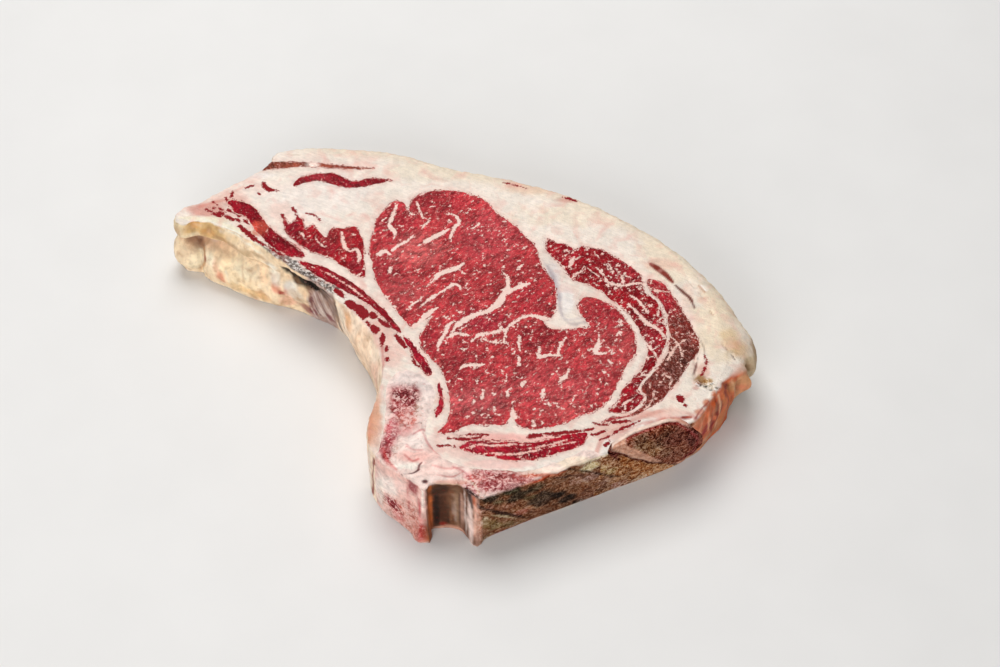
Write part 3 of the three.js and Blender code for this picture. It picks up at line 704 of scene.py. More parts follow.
# %% Veins of the rib cap and of the side muscle
CAP_VEINS = [
    ([(71.2, 3.2), (74.1, -0.3), (77, -4.4), (80, -7.9), (82.9, -9.7), (85.6, -13.2)],
     0.8, 1.4, 1.6, 1.8, 1.4, 1),
    ([(58.8, 22.6), (61.2, 19.7), (62.9, 15.6)], 0.7, 1.2, 0.9),
    ([(55.5, 22), (58, 19.5), (60, 18)], 0.8, 1, 0.6),
    ([(67, 22), (69, 18), (70, 15)], 0.8, 1.2, 0.9),
    ([(49.4, 28), (48.4, 25.4), (47.5, 23)], 0.8, 1.8, 1), ([(50, 19), (54, 21.5)], 1.4, 0.8),
    ([(62.4, 15.6), (66, 13.6), (70, 13.2), (74, 14), (78.2, 14.4)], 0.8, 1.3, 1.5, 1.2, 1),
    ([(72, 8), (76, 4.5), (79, -1)], 0.6, 1.2, 0.8),
    ([(76.5, -16), (80, -20), (82.5, -25)], 0.8, 1.3, 0.8),
    ([(74, -34.5), (77, -33.4), (80.6, -34.2)], 0.6, 1.2, 0.6),
    ([(66.4, -50), (69.4, -47), (72.4, -45)], 0.6, 1.4, 0.6),
]
BORDER_VEINS = [
    ([(86.5, -25.6), (89.4, -20.3), (91.2, -17.9), (94.1, -15.6)], 1.6, 1.4, 1.2, 0.8),
    ([(80, 10.5), (84, 10), (88, 9.5)], 0.8, 1, 0.6),
    ([(88.6, -14), (91.5, -19), (92.4, -24)], 0.6, 1, 0.6),
    ([(84.4, -33), (87.2, -36), (86.4, -40.2)], 0.6, 1.1, 0.6),
    ([(74, -53.4), (79, -47.6), (80.4, -42)], 0.6, 1, 0.6),
]
SIDE_VEINS = [
    ([(-48.5, 41.8), (-47.6, 36.9), (-46.4, 33.3), (-44.6, 31.5)], 0.8, 1.6, 2, 1.2),
    ([(-44.6, 31.5), (-42, 32.5), (-40.5, 29), (-41, 25)], 1, 1.4, 1.6, 0.8),
    ([(-59, 38), (-57.5, 35.5), (-55, 33.5)], 1, 1.4, 0.7),
    ([(-66.5, 42), (-64, 38.4), (-62.8, 35)], 0.5, 0.9, 0.5),
]
CHINE_VEINS = [
    ([(3, -70.4), (9, -68.2), (16, -68.4), (24, -67.6), (31, -68)], 0.5, 0.9, 1.1, 0.8, 0.4),
    ([(9, -72.4), (16, -72), (23, -72.6), (31, -71), (40, -68.4), (49, -66.8)],
     0.4, 0.8, 1, 1, 0.8, 0.5),
    ([(26, -70.2), (34, -69), (42, -66.6), (48, -64.8)], 0.3, 0.7, 0.7, 0.3),
    ([(12, -66.6), (22, -66.2), (34, -66), (42, -63.9)], 0.5, 0.8, 0.9, 0.5),
]
STRAP_VEINS = [
    ([(-60, 23), (-52, 18.6), (-44, 12.4), (-36, 5)], 0.4, 0.8, 0.9, 0.4),
    ([(-34, 7), (-28, -0.6), (-23.6, -8)], 0.5, 0.8, 0.4),
]

# %% Small flecks that follow the grain
FLECK_LENGTHS = (0.5, 2.6)  # mm
FLECK_WIDTHS = (0.2, 0.5)  # mm
FLECKS_PER_MM2 = {
    "rib_cap_muscle": 0.2, "cap_border_muscle": 0.18, "side_muscle": 0.05, "chine_muscle": 0.05,
}
FEW_FLECKS = 0.012  # per mm2, in the other small muscles
FLECK_GROWTH = {"rib_cap_muscle": 1.5, "cap_border_muscle": 1.3, "side_muscle": 1.3}
VEINS = {
    "ribeye_muscle": EYE_VEINS, "rib_cap_muscle": CAP_VEINS, "cap_border_muscle": BORDER_VEINS,
    "side_muscle": SIDE_VEINS, "chine_muscle": CHINE_VEINS,
}


def flecks(loop, count, seed, angle, spread, growth=1.0):
    """Short random strokes in the box round a loop. The angle and its spread are in degrees."""
    draw = np.random.default_rng(seed)
    low, high = loop.min(axis=0), loop.max(axis=0)
    strokes = []
    for _ in range(count):
        middle = draw.uniform(low, high)
        turn = math.radians(draw.normal(angle, spread))
        length = draw.uniform(*FLECK_LENGTHS) * draw.uniform(0.4, 1)
        reach = 0.5 * length * np.array([math.cos(turn), math.sin(turn)])
        width = growth * draw.uniform(*FLECK_WIDTHS) / 2
        bend = draw.normal(0, 0.12 * length, 2)
        path = np.array([middle - reach, middle + bend, middle + reach])
        strokes.append(np.column_stack([path, [0.4 * width, width, 0.3 * width]]))
    return strokes


def marbling(name):
    """All veins and flecks of one muscle."""
    strokes = [stroke(*vein) for vein in VEINS.get(name, STRAP_VEINS)]
    loop = loops[name]
    seed = 100 + list(loops).index(name)
    if name == "ribeye_muscle":
        # The grain of the eye turns below its waist, and the two halves overlap there.
        upper, lower = loop[loop[:, 1] > -12], loop[loop[:, 1] < -5]
        strokes += flecks(upper, 900, seed, angle=36, spread=26)
        strokes += flecks(lower, 640, seed + 50, angle=60, spread=50)
    else:
        box = np.prod(loop.max(axis=0) - loop.min(axis=0))
        count = int(FLECKS_PER_MM2.get(name, FEW_FLECKS) * box)
        growth = FLECK_GROWTH.get(name, 1.0)
        strokes += flecks(loop, count, seed, angle=40, spread=40, growth=growth)
    print(name, len(strokes), "strokes of fat on", round(abs(doubled_area(loop)) / 2), "mm2")
    return strokes


# %% [markdown]
# ## Scraps of lean in the fat
# The fat round the neck end of the slice holds shreds of other muscles, cut across. They are drawn
# the other way round: red strokes in pale fat.

# %% Red scraps: a path and widths in mm
SCRAPS = [
    ([(-92, 46.5), (-89, 43), (-85, 38.5), (-81.5, 35.6)], 1.2, 2.4, 2, 0.8),
    ([(-80, 35), (-76, 31.4), (-72, 28.6)], 0.5, 1.1, 0.6),
    ([(-50, 11), (-48, 9), (-46, 6.5)], 1.2, 2.6, 1.4), ([(-43.6, 3.6), (-42.2, 2.2)], 3.6, 4.2),
    ([(-39.4, 0.4), (-37.6, -2.2)], 4.2, 4.6), ([(-34.2, -1.8), (-33.4, -3.4)], 2.2, 2.6),
    ([(-33.2, -9.2), (-32.6, -10.4)], 3, 3.4),
    ([(-31, -5), (-29, -7), (-27, -8.5)], 1.4, 2.2, 1.2),
    ([(-29.5, -12), (-29.2, -15), (-29.5, -18)], 1, 1.8, 1.2),
    ([(-24, -13), (-22, -16), (-20, -19.5)], 1.4, 2.4, 1),
    ([(-27.5, -19), (-27.8, -21)], 0.9, 1.1), ([(-27.2, -25), (-27.4, -26.4)], 0.8, 0.9),
    ([(-17.5, -24), (-16.2, -27), (-14.5, -29.5)], 0.6, 1.3, 0.6),
    ([(-46.4, 2.4), (-44.6, -0.2)], 0.9, 0.7), ([(-36.2, -6.4), (-35.2, -8)], 1, 0.8),
    ([(-24.8, -8.4), (-23.4, -10.8)], 0.7, 1), ([(-107, 56.4), (-104.6, 55)], 1.2, 0.8),
    ([(-103.6, 53.8), (-100.4, 52.2)], 1.6, 1), ([(-98.6, 52.4), (-95.4, 50.2)], 1, 1.6),
    ([(-101.8, 57), (-99.8, 56)], 0.8, 0.6), ([(-99.2, 62.8), (-97.8, 60.8)], 1.2, 0.8),
    ([(-96.4, 66), (-96.8, 63.4)], 0.9, 1.1), ([(-95.2, 54.6), (-92.6, 52.2)], 0.8, 1.4),
    ([(-90.4, 49.6), (-88.6, 47.8)], 1.2, 0.8),
    ([(-83.5, 70), (-81.5, 67), (-79.6, 66.2), (-77, 65.7)], 1.4, 1.8, 1.6, 1),
    ([(-85.2, 64.6), (-84.8, 64.3)], 1, 1),
    ([(-91, 67.7), (-89, 68.6), (-87.5, 69)], 0.6, 1.2, 0.6),
    ([(-74.5, 52.2), (-73, 49.4), (-72.6, 46)], 0.6, 1.4, 1.6),
    ([(-70, 56), (-68.8, 53.6), (-67.8, 51)], 0.4, 1, 1.2),
    ([(-64.5, 52.4), (-60, 51), (-57.4, 47.4)], 0.3, 0.5, 0.5),
    ([(-104.4, 60.4), (-102, 58.8)], 0.6, 0.5), ([(-97.6, 56.2), (-96.2, 54.8)], 1.4, 1.2),
    ([(-101.4, 54.6), (-99.8, 53.2)], 1.2, 1.6), ([(-93.4, 50.4), (-92.4, 49)], 1, 1.3),
    ([(-105.6, 57.6), (-103, 56.6)], 0.4, 0.7), ([(29, -64.4), (32, -63.6), (35, -63)], 1, 2, 1.6),
    ([(36.5, -63), (41, -62.2), (45, -62), (55, -60.6)], 1.2, 1.6, 1.4, 0.7),
    ([(-2, -64.8), (4, -65.4), (11, -64.4)], 0.4, 1, 0.5),
    ([(2, -63.6), (8, -63), (14, -63.4)], 0.4, 0.9, 0.5),
    ([(-6, -68.6), (-2, -68.4), (1, -68.8)], 0.5, 1.1, 0.6),
    ([(54.6, -63.4), (57, -63.2), (60.6, -61.4)], 0.5, 1.1, 0.5),
    ([(58, -66), (62, -64.2), (67, -60.6), (74, -57)], 0.4, 0.8, 0.9, 0.4),
    ([(60, -68.6), (61.6, -66.8)], 1.6, 1), ([(90.2, -45), (91, -46.2)], 2.6, 2.8),
    ([(92.3, -48.9), (92.7, -49.3)], 0.8, 0.8),
    ([(101.5, -23.4), (101.9, -26), (102, -28.4)], 0.3, 1, 0.7),
    ([(101.4, -29.8), (100.9, -31.8), (99.6, -34)], 0.9, 0.8, 0.2),
    ([(20, 70), (25, 68.6), (30, 66.6)], 0.3, 0.8, 0.3),
    ([(45.4, 61.6), (48.6, 60.4), (51, 59.2)], 0.4, 1.2, 0.4),
    ([(62, -57.8), (66, -57.2), (69.6, -56.8)], 0.8, 1.4, 0.8),
    ([(55.2, -57.4), (58, -58.6), (62, -58.2)], 0.6, 1.2, 0.6),
]
SCRAP_SPREAD = 0.4  # mm that the ragged edge of a scrap adds to its width
scrap_strokes = [stroke(path, *(width + SCRAP_SPREAD for width in widths))
                 for path, *widths in SCRAPS]

# %% [markdown]
# ## Painting
# Slow changes of colour are painted straight on the points of each mesh, as soft spots and
# streaks laid over a base colour, like washes of ink. A table of spots holds one spot per row: its
# place, its two radii, its colour and how strongly it covers. A table of streaks holds a path, its
# widths, its colour, how strongly it covers and how many mm its edge takes. The material adds the
# fine texture later.

# %% Spots and streaks of colour
SPOT_FADE = (0.55, 1.25)  # shares of its radii over which a spot fades out


def ragged(points, size=2.6, seed=61):
    """The unevenness of a painted edge, as a share of a spot's radius."""
    return 0.22 * noise(points, 2.5 * size, seed) + 0.2 * noise(points, size, seed + 1)


def tint(paint, mask, colour):
    """Mix a colour into the paint by a share for each point."""
    paint += mask[:, None] * (linear(colour) - paint)


def from_spot(place, rough, x, y, radius_x, radius_y):
    """The distance from the middle of a spot, and about 1 at its ragged edge."""
    return np.hypot((place[:, 0] - x) / radius_x, (place[:, 1] - y) / radius_y) + rough


def wash(paint, place, rough, spots, streaks=(), where=1.0):
    """Lay spots and then streaks on the paint. The place of a point is two coordinates in mm."""
    for *spot, colour, cover in spots:
        away = from_spot(place, rough, *spot)
        tint(paint, cover * (1 - fade(away, *SPOT_FADE)) * where, colour)
    for path, widths, colour, cover, soft in streaks:
        field = stroke_field(place, [stroke(path, *widths)]) + rough * max(widths)
        tint(paint, cover * (1 - fade(field, -soft, soft)) * where, colour)


# %% [markdown]
# The colours differ between the cut faces and the walls, so each point needs to know how much of a
# wall it belongs to. That follows from its normal, which lies flat on a wall and points up on a
# face, and from its height, because the rolls of the wall have upper sides too.

# %% Place, wall share and unevenness of every point of a piece
WALL_TILT = (0.5, 0.85)  # how far up the normal points where a wall turns into a face


def survey(piece):
    points = points_of(piece)
    normals = np.empty(3 * len(points))
    piece.data.vertex_normals.foreach_get("vector", normals)
    height = points[:, 2]
    below_top = THICKNESS - height
    steep = 1 - fade(np.abs(normals.reshape(-1, 3)[:, 2]), *WALL_TILT)
    steep *= fade(below_top, 0.2, 1.4)
    # Below 8 mm from the top and above the table, every point is on a wall.
    low = fade(below_top, 5, 8) * fade(height, 0.3, 1.5)
    return points, np.maximum(steep, low), ragged(points)


def keep(piece, name, values):
    """Keep a value or a colour for each point of the mesh."""
    if values.ndim == 2:
        layer = piece.data.attributes.new(name, "FLOAT_COLOR", "POINT")
        opaque = np.column_stack([values, np.ones(len(values))])
        layer.data.foreach_set("color", opaque.ravel())
    else:
        layer = piece.data.attributes.new(name, "FLOAT", "POINT")
        layer.data.foreach_set("value", values.ravel())


# %% [markdown]
# ## Painting the lean
# A muscle in daylight is not one red. Blood pigment that met the air is bright, deeper meat is
# darker, and a muscle that lay on the outside while the beef aged has dried to brown.

# %% Base colours and spots of the muscles
LEAN_BASE = {
    "ribeye_muscle": "#aa3237", "rib_cap_muscle": "#8c0c18", "cap_border_muscle": "#7c2c24",
    "side_muscle": "#900f1b", "rib_strap_upper": "#86081a", "rib_strap_lower": "#8a0a1c",
    "neck_strap": "#900c22", "neck_strap_lower": "#9a1a2a", "skin_muscle_outer": "#86402f",
    "skin_muscle_inner": "#86141f", "chine_muscle": "#980c20",
}
LEAN_SPOTS = {
    "ribeye_muscle": [
        (-25, 45, 9, 14, "#8e1c28", 0.6), (-8, 60, 16, 7, "#a02a32", 0.6),
        (15, 40, 14, 16, "#b4444a", 0.5), (-28, 24, 7, 10, "#8f202b", 0.5),
        (-20, 10, 10, 8, "#b04648", 0.6), (30, 4, 8, 12, "#98222c", 0.6),
        (12, -6, 12, 6, "#8c1e2c", 0.7), (34, -14, 10, 7, "#9a1c28", 0.6),
        (62, -4, 7, 8, "#8e1a26", 0.6), (69, -20, 4, 12, "#ac4646", 0.5),
        (40, -38, 22, 12, "#a94044", 0.6), (10, -48, 14, 9, "#b65456", 0.6),
        (62, -22, 9, 16, "#a03a3c", 0.6), (-16, 32, 12, 10, "#bc5a58", 0.6),
        (45, -52, 12, 5, "#b54c4c", 0.5), (4, -28, 9, 12, "#9c2c34", 0.5),
        (-10, -16, 4, 9, "#96202c", 0.5), (-28, -2, 5, 8, "#b65452", 0.5),
    ],
    "rib_cap_muscle": [
        (46, 30, 6, 6, "#8c1622", 0.6), (70, 20, 8, 8, "#a42a34", 0.5),
        (82, -14, 5, 9, "#98202c", 0.5), (74, -44, 5, 8, "#8a0f20", 0.7),
    ],
    "cap_border_muscle": [
        (93, -8, 7, 8, "#742620", 0.7), (91, -30, 9, 14, "#58261c", 0.9),
        (80, -48, 10, 6, "#6a221a", 0.85), (86, 8, 8, 12, "#a01e2a", 0.95),
        (66, -56, 8, 3, "#a02c38", 0.6),
    ],
    "side_muscle": [
        (-70, 44, 4, 8, "#8c1626", 0.7), (-48, 40, 7, 7, "#9c2a2e", 0.6),
        (-42, 24, 4, 9, "#8e1a28", 0.6), (-58, 33, 8, 4, "#951c2a", 0.5),
    ],
    "rib_strap_upper": [(-83, 45, 4, 5, "#c04a3a", 0.85), (-92, 56, 6, 4, "#86101e", 0.5)],
    "skin_muscle_outer": [
        (-63, 80.6, 3.5, 2, "#d8c4b8", 0.95), (-84, 81, 5, 3, "#8a4638", 0.7),
        (-45, 79, 9, 1.5, "#6e241f", 0.6),
    ],
    "skin_muscle_inner": [(-60, 73, 6, 2.2, "#a2303a", 0.6), (-46, 69.4, 5, 2, "#7c1420", 0.6)],
    "chine_muscle": [(30, -72, 16, 3, "#8c0e20", 0.6), (10, -69, 7, 3, "#a8263a", 0.5)],
}

# %% Paint the lean and keep its veins
FRINGE = 0.1  # mm of lean that the pale edge of a muscle takes up

for name, colour in LEAN_BASE.items():
    points, wall_share, rough = survey(pieces[name])
    on_grid = drawn_place(points, name)
    height = points[:, 2]
    paint = np.tile(linear(colour), (len(points), 1))
    wash(paint, on_grid, rough, LEAN_SPOTS.get(name, []))
    # The lower strap comes out in the hollow under the torn skin, and its side there is painted
    # near-black as the hollow's shade.
    hollow_shade = fade(height, 1, 3) * (1 - fade(height, 30.4, 31.6)) * (name == "rib_strap_lower")
    tint(paint, hollow_shade, "#17100d")
    keep(pieces[name], "paint", paint)
    edge = stroke_field(on_grid, loop_strokes(loops[name])) - FRINGE
    vein = np.minimum(stroke_field(on_grid, marbling(name)), edge)
    # A few mm more hide the pale veins under that painted shade and on the outside.
    dried = wall_share * (name == "skin_muscle_outer")
    keep(pieces[name], "vein", vein + 6 * hollow_shade + 3 * dried)
print("the lean is painted")

# %% [markdown]
# ## Painting the fat
# Fresh beef fat is ivory on the cut. It picks up a pink tint next to the meat, it turns beige and
# then yellow where the outside dried, and the side that lay against the ribs has bloodstains, a
# hollow painted near-black as its shade, and a shiny skin.

# %% Spots and streaks on the cut face of the fat: x and y in mm
FAT_FACE = [
    (-60, 62, 26, 14, "#efe2d8", 0.7), (-106, 56, 9, 4, "#cf8474", 0.75),
    (-97, 61, 8, 5, "#dda898", 0.6), (-84, 68, 12, 5, "#edd5c8", 0.5),
    (-100, 50.6, 6, 2.4, "#eadfc4", 0.9), (-90, 42, 6, 3, "#e6d8b8", 0.9),
    (-75, 54, 6, 6, "#e8c4b6", 0.6), (-84, 74.5, 9, 2, "#efe4dc", 0.7),
    (40, 12, 4, 15, "#d6cac8", 0.6), (46, 6, 3, 9, "#eee6e0", 0.7),
    (60, 52, 34, 8, "#ead9c2", 0.7), (90, 28, 14, 14, "#e8d6bc", 0.7),
    (106, -8, 8, 22, "#ead6b8", 0.7), (0, 76, 40, 6, "#e6d6bf", 0.6),
    (112, -16, 4, 8, "#d8b888", 0.6), (116, -20, 3, 6, "#c89a60", 0.6),
    (30, 66.4, 12, 3.5, "#e0bda2", 0.6), (47, 60, 6, 2, "#cf8272", 0.55),
    (24, 68.4, 5, 1.6, "#d59282", 0.5), (-38, -2, 8, 9, "#e4b8aa", 0.6),
    (-30, -14, 6, 9, "#dca898", 0.6), (-25, -24, 5, 8, "#e2b4a6", 0.6),
    (-33, -52, 4, 16, "#e0ac84", 0.8), (-31, -60, 3, 12, "#d8947a", 0.5),
    (10, -64, 18, 3, "#e8bcb0", 0.6), (34, -78, 22, 3, "#f0e6da", 0.8),
    (4, -71, 9, 5, "#e8c0b4", 0.7), (62, -62, 10, 5, "#e2b2a2", 0.7),
    (80, -53.5, 14, 2.5, "#dfa492", 0.6), (90, -49, 8, 5, "#efdccb", 0.7),
    (94, -40, 5, 8, "#eee0d0", 0.7), (98, -30, 3.5, 7, "#efe0cc", 0.6),
    (101, -32, 2.6, 5, "#e6bcaa", 0.8), (99.4, -36.4, 2.6, 3, "#a07440", 0.9),
    (102.6, -36.6, 2.4, 1.6, "#c09860", 0.85), (102.4, -39.2, 3.6, 1.6, "#dccdb8", 0.85),
    # The near-black spots on this and the next two lines are painted shade in the holes of the pit.
    (98.4, -38.8, 1.4, 1, "#3c2012", 0.9), (101, -39.2, 0.9, 0.7, "#2c1c14", 0.9),
    (103.6, -38.4, 0.8, 0.6, "#1e1410", 0.9), (103.2, -41, 0.9, 0.6, "#2c2420", 0.9),
    (105.4, -40.2, 0.8, 0.6, "#3a2c24", 0.9), (97, -40.6, 1.6, 0.9, "#c9a094", 0.8),
    (84, 24.4, 8, 3.4, "#e2b4a0", 0.55), (96, 7, 3, 6, "#e6c0aa", 0.5),
    (-69, 33.6, 6, 2.4, "#dc948c", 0.7), (30, -64.6, 26, 2.2, "#f0b0a6", 0.7),
    (20, -77, 18, 2.2, "#f2bcb2", 0.6),
    (101.4, -47.6, 2.4, 2.4, "#c06a40", 0.85), (98.6, -52.2, 3, 2.2, "#c87a58", 0.85),
    (104.6, -43.6, 1.6, 2.4, "#c05a1e", 0.9), (88.6, -55.4, 3.4, 0.9, "#d99c8c", 0.7),
    (91.9, -54.9, 1.7, 0.9, "#8a2416", 0.95), (93.8, -54.8, 1.2, 0.8, "#a8412a", 0.85),
    (-84, 43, 2.5, 3, "#d4624c", 0.7), (-7, -68, 4, 5, "#eccfc4", 0.7),
    (-88.6, 44.4, 2.4, 1.6, "#eee4d6", 0.8), (-78, 36, 3, 2, "#ecdccc", 0.8),
]
FAT_FACE_STREAKS = [
    ([(80.3, 25.8), (84.1, 22.2), (88.2, 17.6), (90.2, 14.4)], (0.9, 2.4, 1.8, 0.5), "#7e1a08",
     0.97, 0.35),
    ([(91.4, 12.8), (94.1, 9.4), (97, 6.2), (98.7, 1.2)], (0.5, 1.3, 1.4, 0.5), "#68281a",
     0.95, 0.3),
    ([(98.8, -24.6), (97.6, -29.6), (96.5, -33.4)], (0.4, 1, 0.5), "#4c1a14", 0.9, 0.25),
    ([(99.6, -14), (101.4, -20), (101.6, -26)], (0.3, 0.5, 0.3), "#8c7460", 0.7, 0.3),
    ([(-118, 52), (-104, 50), (-92, 43), (-80, 32.4)], (1.6, 2.4, 2, 1.4), "#efe4c8", 0.9, 0.8),
    ([(-109, 51.2), (-104.7, 49.2), (-98, 45.8), (-93.6, 43.2), (-84.6, 36.2)],
     (0.6, 1.2, 0.8, 0.8, 0.5), "#f6f0e0", 0.9, 0.5),
    ([(-77, 30), (-71.5, 26.4), (-66, 21.6), (-60, 17.2), (-53.9, 12.2), (-49.6, 8)],
     (0.8, 2.2, 3, 3.2, 2.8, 1.2), "#786c66", 0.85, 0.8),
    ([(-84, 36.4), (-77.6, 31.4), (-71, 27.4)], (0.3, 0.6, 0.4), "#4c2024", 0.8, 0.3),
    ([(36, 27), (41, 17), (43, 8), (43, 0), (46, -5), (53, -4)], (0.8, 1.4, 1.6, 1.2, 1, 0.6),
     "#b4a8ae", 0.5, 0.8),
    ([(38.3, 23.4), (40.8, 15.4), (42.6, 9.4), (43.4, 2), (44, -3.4)], (0.3, 1.2, 0.4, 1.4, 0.4),
     "#8c8088", 0.45, 0.8),
    ([(44.6, -4.6), (47.8, -7.4), (54, -6)], (0.5, 1.4, 0.6), "#8c8086", 0.5, 0.8),
    ([(-74, 86.6), (-71, 85.8), (-68, 86)], (0.4, 0.8, 0.4), "#b49a80", 0.6, 0.4),
    ([(76, -58.6), (82, -56.4), (90, -55)], (0.8, 1.2, 0.6), "#b8483e", 0.6, 0.6),
    ([(66, -62.6), (74, -58.4), (84, -55.2)], (0.6, 0.9, 0.6), "#c86e60", 0.6, 0.6),
    ([(-98, 64.6), (-92, 68.4)], (0.6, 1), "#d8917f", 0.5, 0.8),
    ([(-110, 58), (-104, 60.4), (-98, 61.6)], (1, 1.6, 0.8), "#d07c6c", 0.6, 0.8),
    ([(-34, -48), (-33, -58), (-33.4, -66)], (1, 1.6, 1.4), "#cf7c58", 0.5, 1),
    ([(-29.6, -18), (-29, -27), (-29.6, -34)], (0.8, 1.4, 1), "#b84440", 0.6, 0.6),
    ([(101.9, -46.9), (98.8, -50.9), (96.2, -55.3)], (0.6, 1, 0.8), "#84180f", 0.9, 0.3),
    # Painted shade in small pits of the cut face, with a painted highlight (the white streak).
    ([(109.9, -19), (111, -20.7)], (0.4, 0.4), "#7a5640", 0.9, 0.2),
    ([(101, 12.6), (103.4, 9.2)], (0.5, 0.8), "#b48e6c", 0.85, 0.3),
    ([(102, 12.8), (104.4, 9.4)], (0.6, 0.6), "#fff8ee", 0.8, 0.3),
    ([(105, -0.4), (106.2, -2.6)], (0.7, 0.5), "#a8846a", 0.8, 0.3),
    ([(112.7, -23.4), (114, -26)], (0.7, 0.4), "#5c3c2c", 0.9, 0.2),
    # The last streak is a painted highlight along the rounded rim of the cap.
    ([(94, 30), (99, 22), (105, 11), (110, -2)], (0.5, 0.8, 0.7, 0.4), "#f4e9d8", 0.6, 0.7),
]

# %% Small dark specks on the cut face, where the rib's skin tore
TORN_EDGE = np.array([(-78, 31.4), (-71.5, 26), (-65, 21.4), (-58, 16), (-50, 9)])
SPECK_COLOURS = ["#151010", "#2c2020", "#f4ece4"]
draw = np.random.default_rng(77)
for _ in range(90):
    at = draw.uniform(0, len(TORN_EDGE) - 1.001)
    start = TORN_EDGE[int(at)]
    x, y = start + (at % 1) * (TORN_EDGE[int(at) + 1] - start) + draw.normal(0, 1.1, 2) + [0.4, 0.6]
    size = draw.uniform(0.5, 1.15)
    FAT_FACE.append((x, y, size, 0.7 * size, draw.choice(SPECK_COLOURS), 0.9))

# %% Spots and streaks on the rib side of the fat: x and height in mm
RIB_WALL = [
    (-108, 27.6, 15, 4.4, "#d2ab72", 0.9), (-118.4, 27, 3, 5, "#ead6b0", 0.8),
    (-111.4, 29, 2.6, 1.4, "#dd9f52", 0.75), (-106, 26, 3, 1.2, "#c98d4c", 0.6),
    (-114, 24, 4, 1.6, "#efe0be", 0.7),
    # The spots at x -112.6 and -110.3 below are painted shade in the groove under the lip.
    (-106, 19, 13, 3, "#d8b290", 0.9), (-112.6, 17.6, 3.4, 1.5, "#a07c64", 0.85),
    (-110.3, 16, 2.2, 1.4, "#7c5440", 0.85), (-104, 20, 3, 1.6, "#c6aca2", 0.7),
    (-99, 25, 4, 1.5, "#b88e64", 0.85), (-95, 23.6, 4, 2, "#c6a27e", 0.75),
    (-99.6, 21, 2.4, 1.6, "#dccab4", 0.7), (-93, 20, 2.6, 2, "#e4d2b4", 0.7),
    (-89, 25, 4, 2, "#bf9f78", 0.75), (-84, 26.4, 4, 1.6, "#ae8f6c", 0.7),
    (-87, 21, 2, 1.6, "#b4865c", 0.6), (-81, 20, 2.6, 1.2, "#c49e78", 0.5),
    (-94, 11, 10, 6, "#fbe2b8", 0.6), (-112, 9, 4, 6, "#f4e4c2", 0.8),
    (-106, 13, 3, 2, "#fbf0d4", 0.7), (-90, 15, 6, 2.4, "#faeccc", 0.7),
    (-101.7, 7, 2.4, 4, "#de8e70", 0.85), (-103.6, 11.6, 1.6, 2.6, "#e8ac8e", 0.6),
    (-86, 4.6, 6, 3, "#ecc288", 0.7), (-95, 5, 5, 3, "#f0c890", 0.6),
    (-82, 4.6, 4, 3, "#e6b47e", 0.6), (-82.2, 14.6, 3, 2, "#f0c8a2", 0.6),
    (-77, 13, 2.4, 3, "#e09078", 0.85), (-77.3, 16, 1.8, 2.6, "#e8a68e", 0.7),
    (-74.9, 10.9, 1.4, 1.4, "#a42a26", 0.95), (-72.6, 13, 1, 3, "#e89c94", 0.7),
    (-78.4, 24, 4, 3, "#efe9da", 0.85), (-76.8, 18, 3, 4, "#f0eada", 0.75),
    (-70.4, 15.4, 3.6, 3, "#efe8dc", 0.9), (-68.4, 11.4, 3.4, 3, "#e4dac8", 0.85),
    (-66.3, 9, 2.4, 2, "#cbb498", 0.7), (-72, 6, 4, 4, "#dc9c84", 0.6),
    (-64, 4, 3, 3, "#a05a56", 0.8), (-62, 10, 1.5, 5, "#541a2a", 0.9),
    (-59.5, 15.6, 2.4, 3, "#a48a82", 0.85), (-55, 16.2, 2.6, 5, "#c0a598", 0.8),
    (-56, 22.6, 4.6, 3.4, "#5c463c", 0.85), (-53, 20, 2.6, 3, "#8c7062", 0.7),
    (-57.4, 7.1, 2, 3, "#dccabe", 0.8), (-53.4, 7.6, 2, 3, "#8a5456", 0.85),
    (-50.6, 19.1, 1.4, 6, "#8a7266", 0.85), (-61, 5, 2, 2.4, "#762c3e", 0.85),
    (-44.5, 25, 2.6, 5, "#d8965a", 0.7),
    (-42, 12, 3, 8, "#fbdcbc", 0.6), (-47, 22, 1.6, 8, "#f6e4cc", 0.8),
]
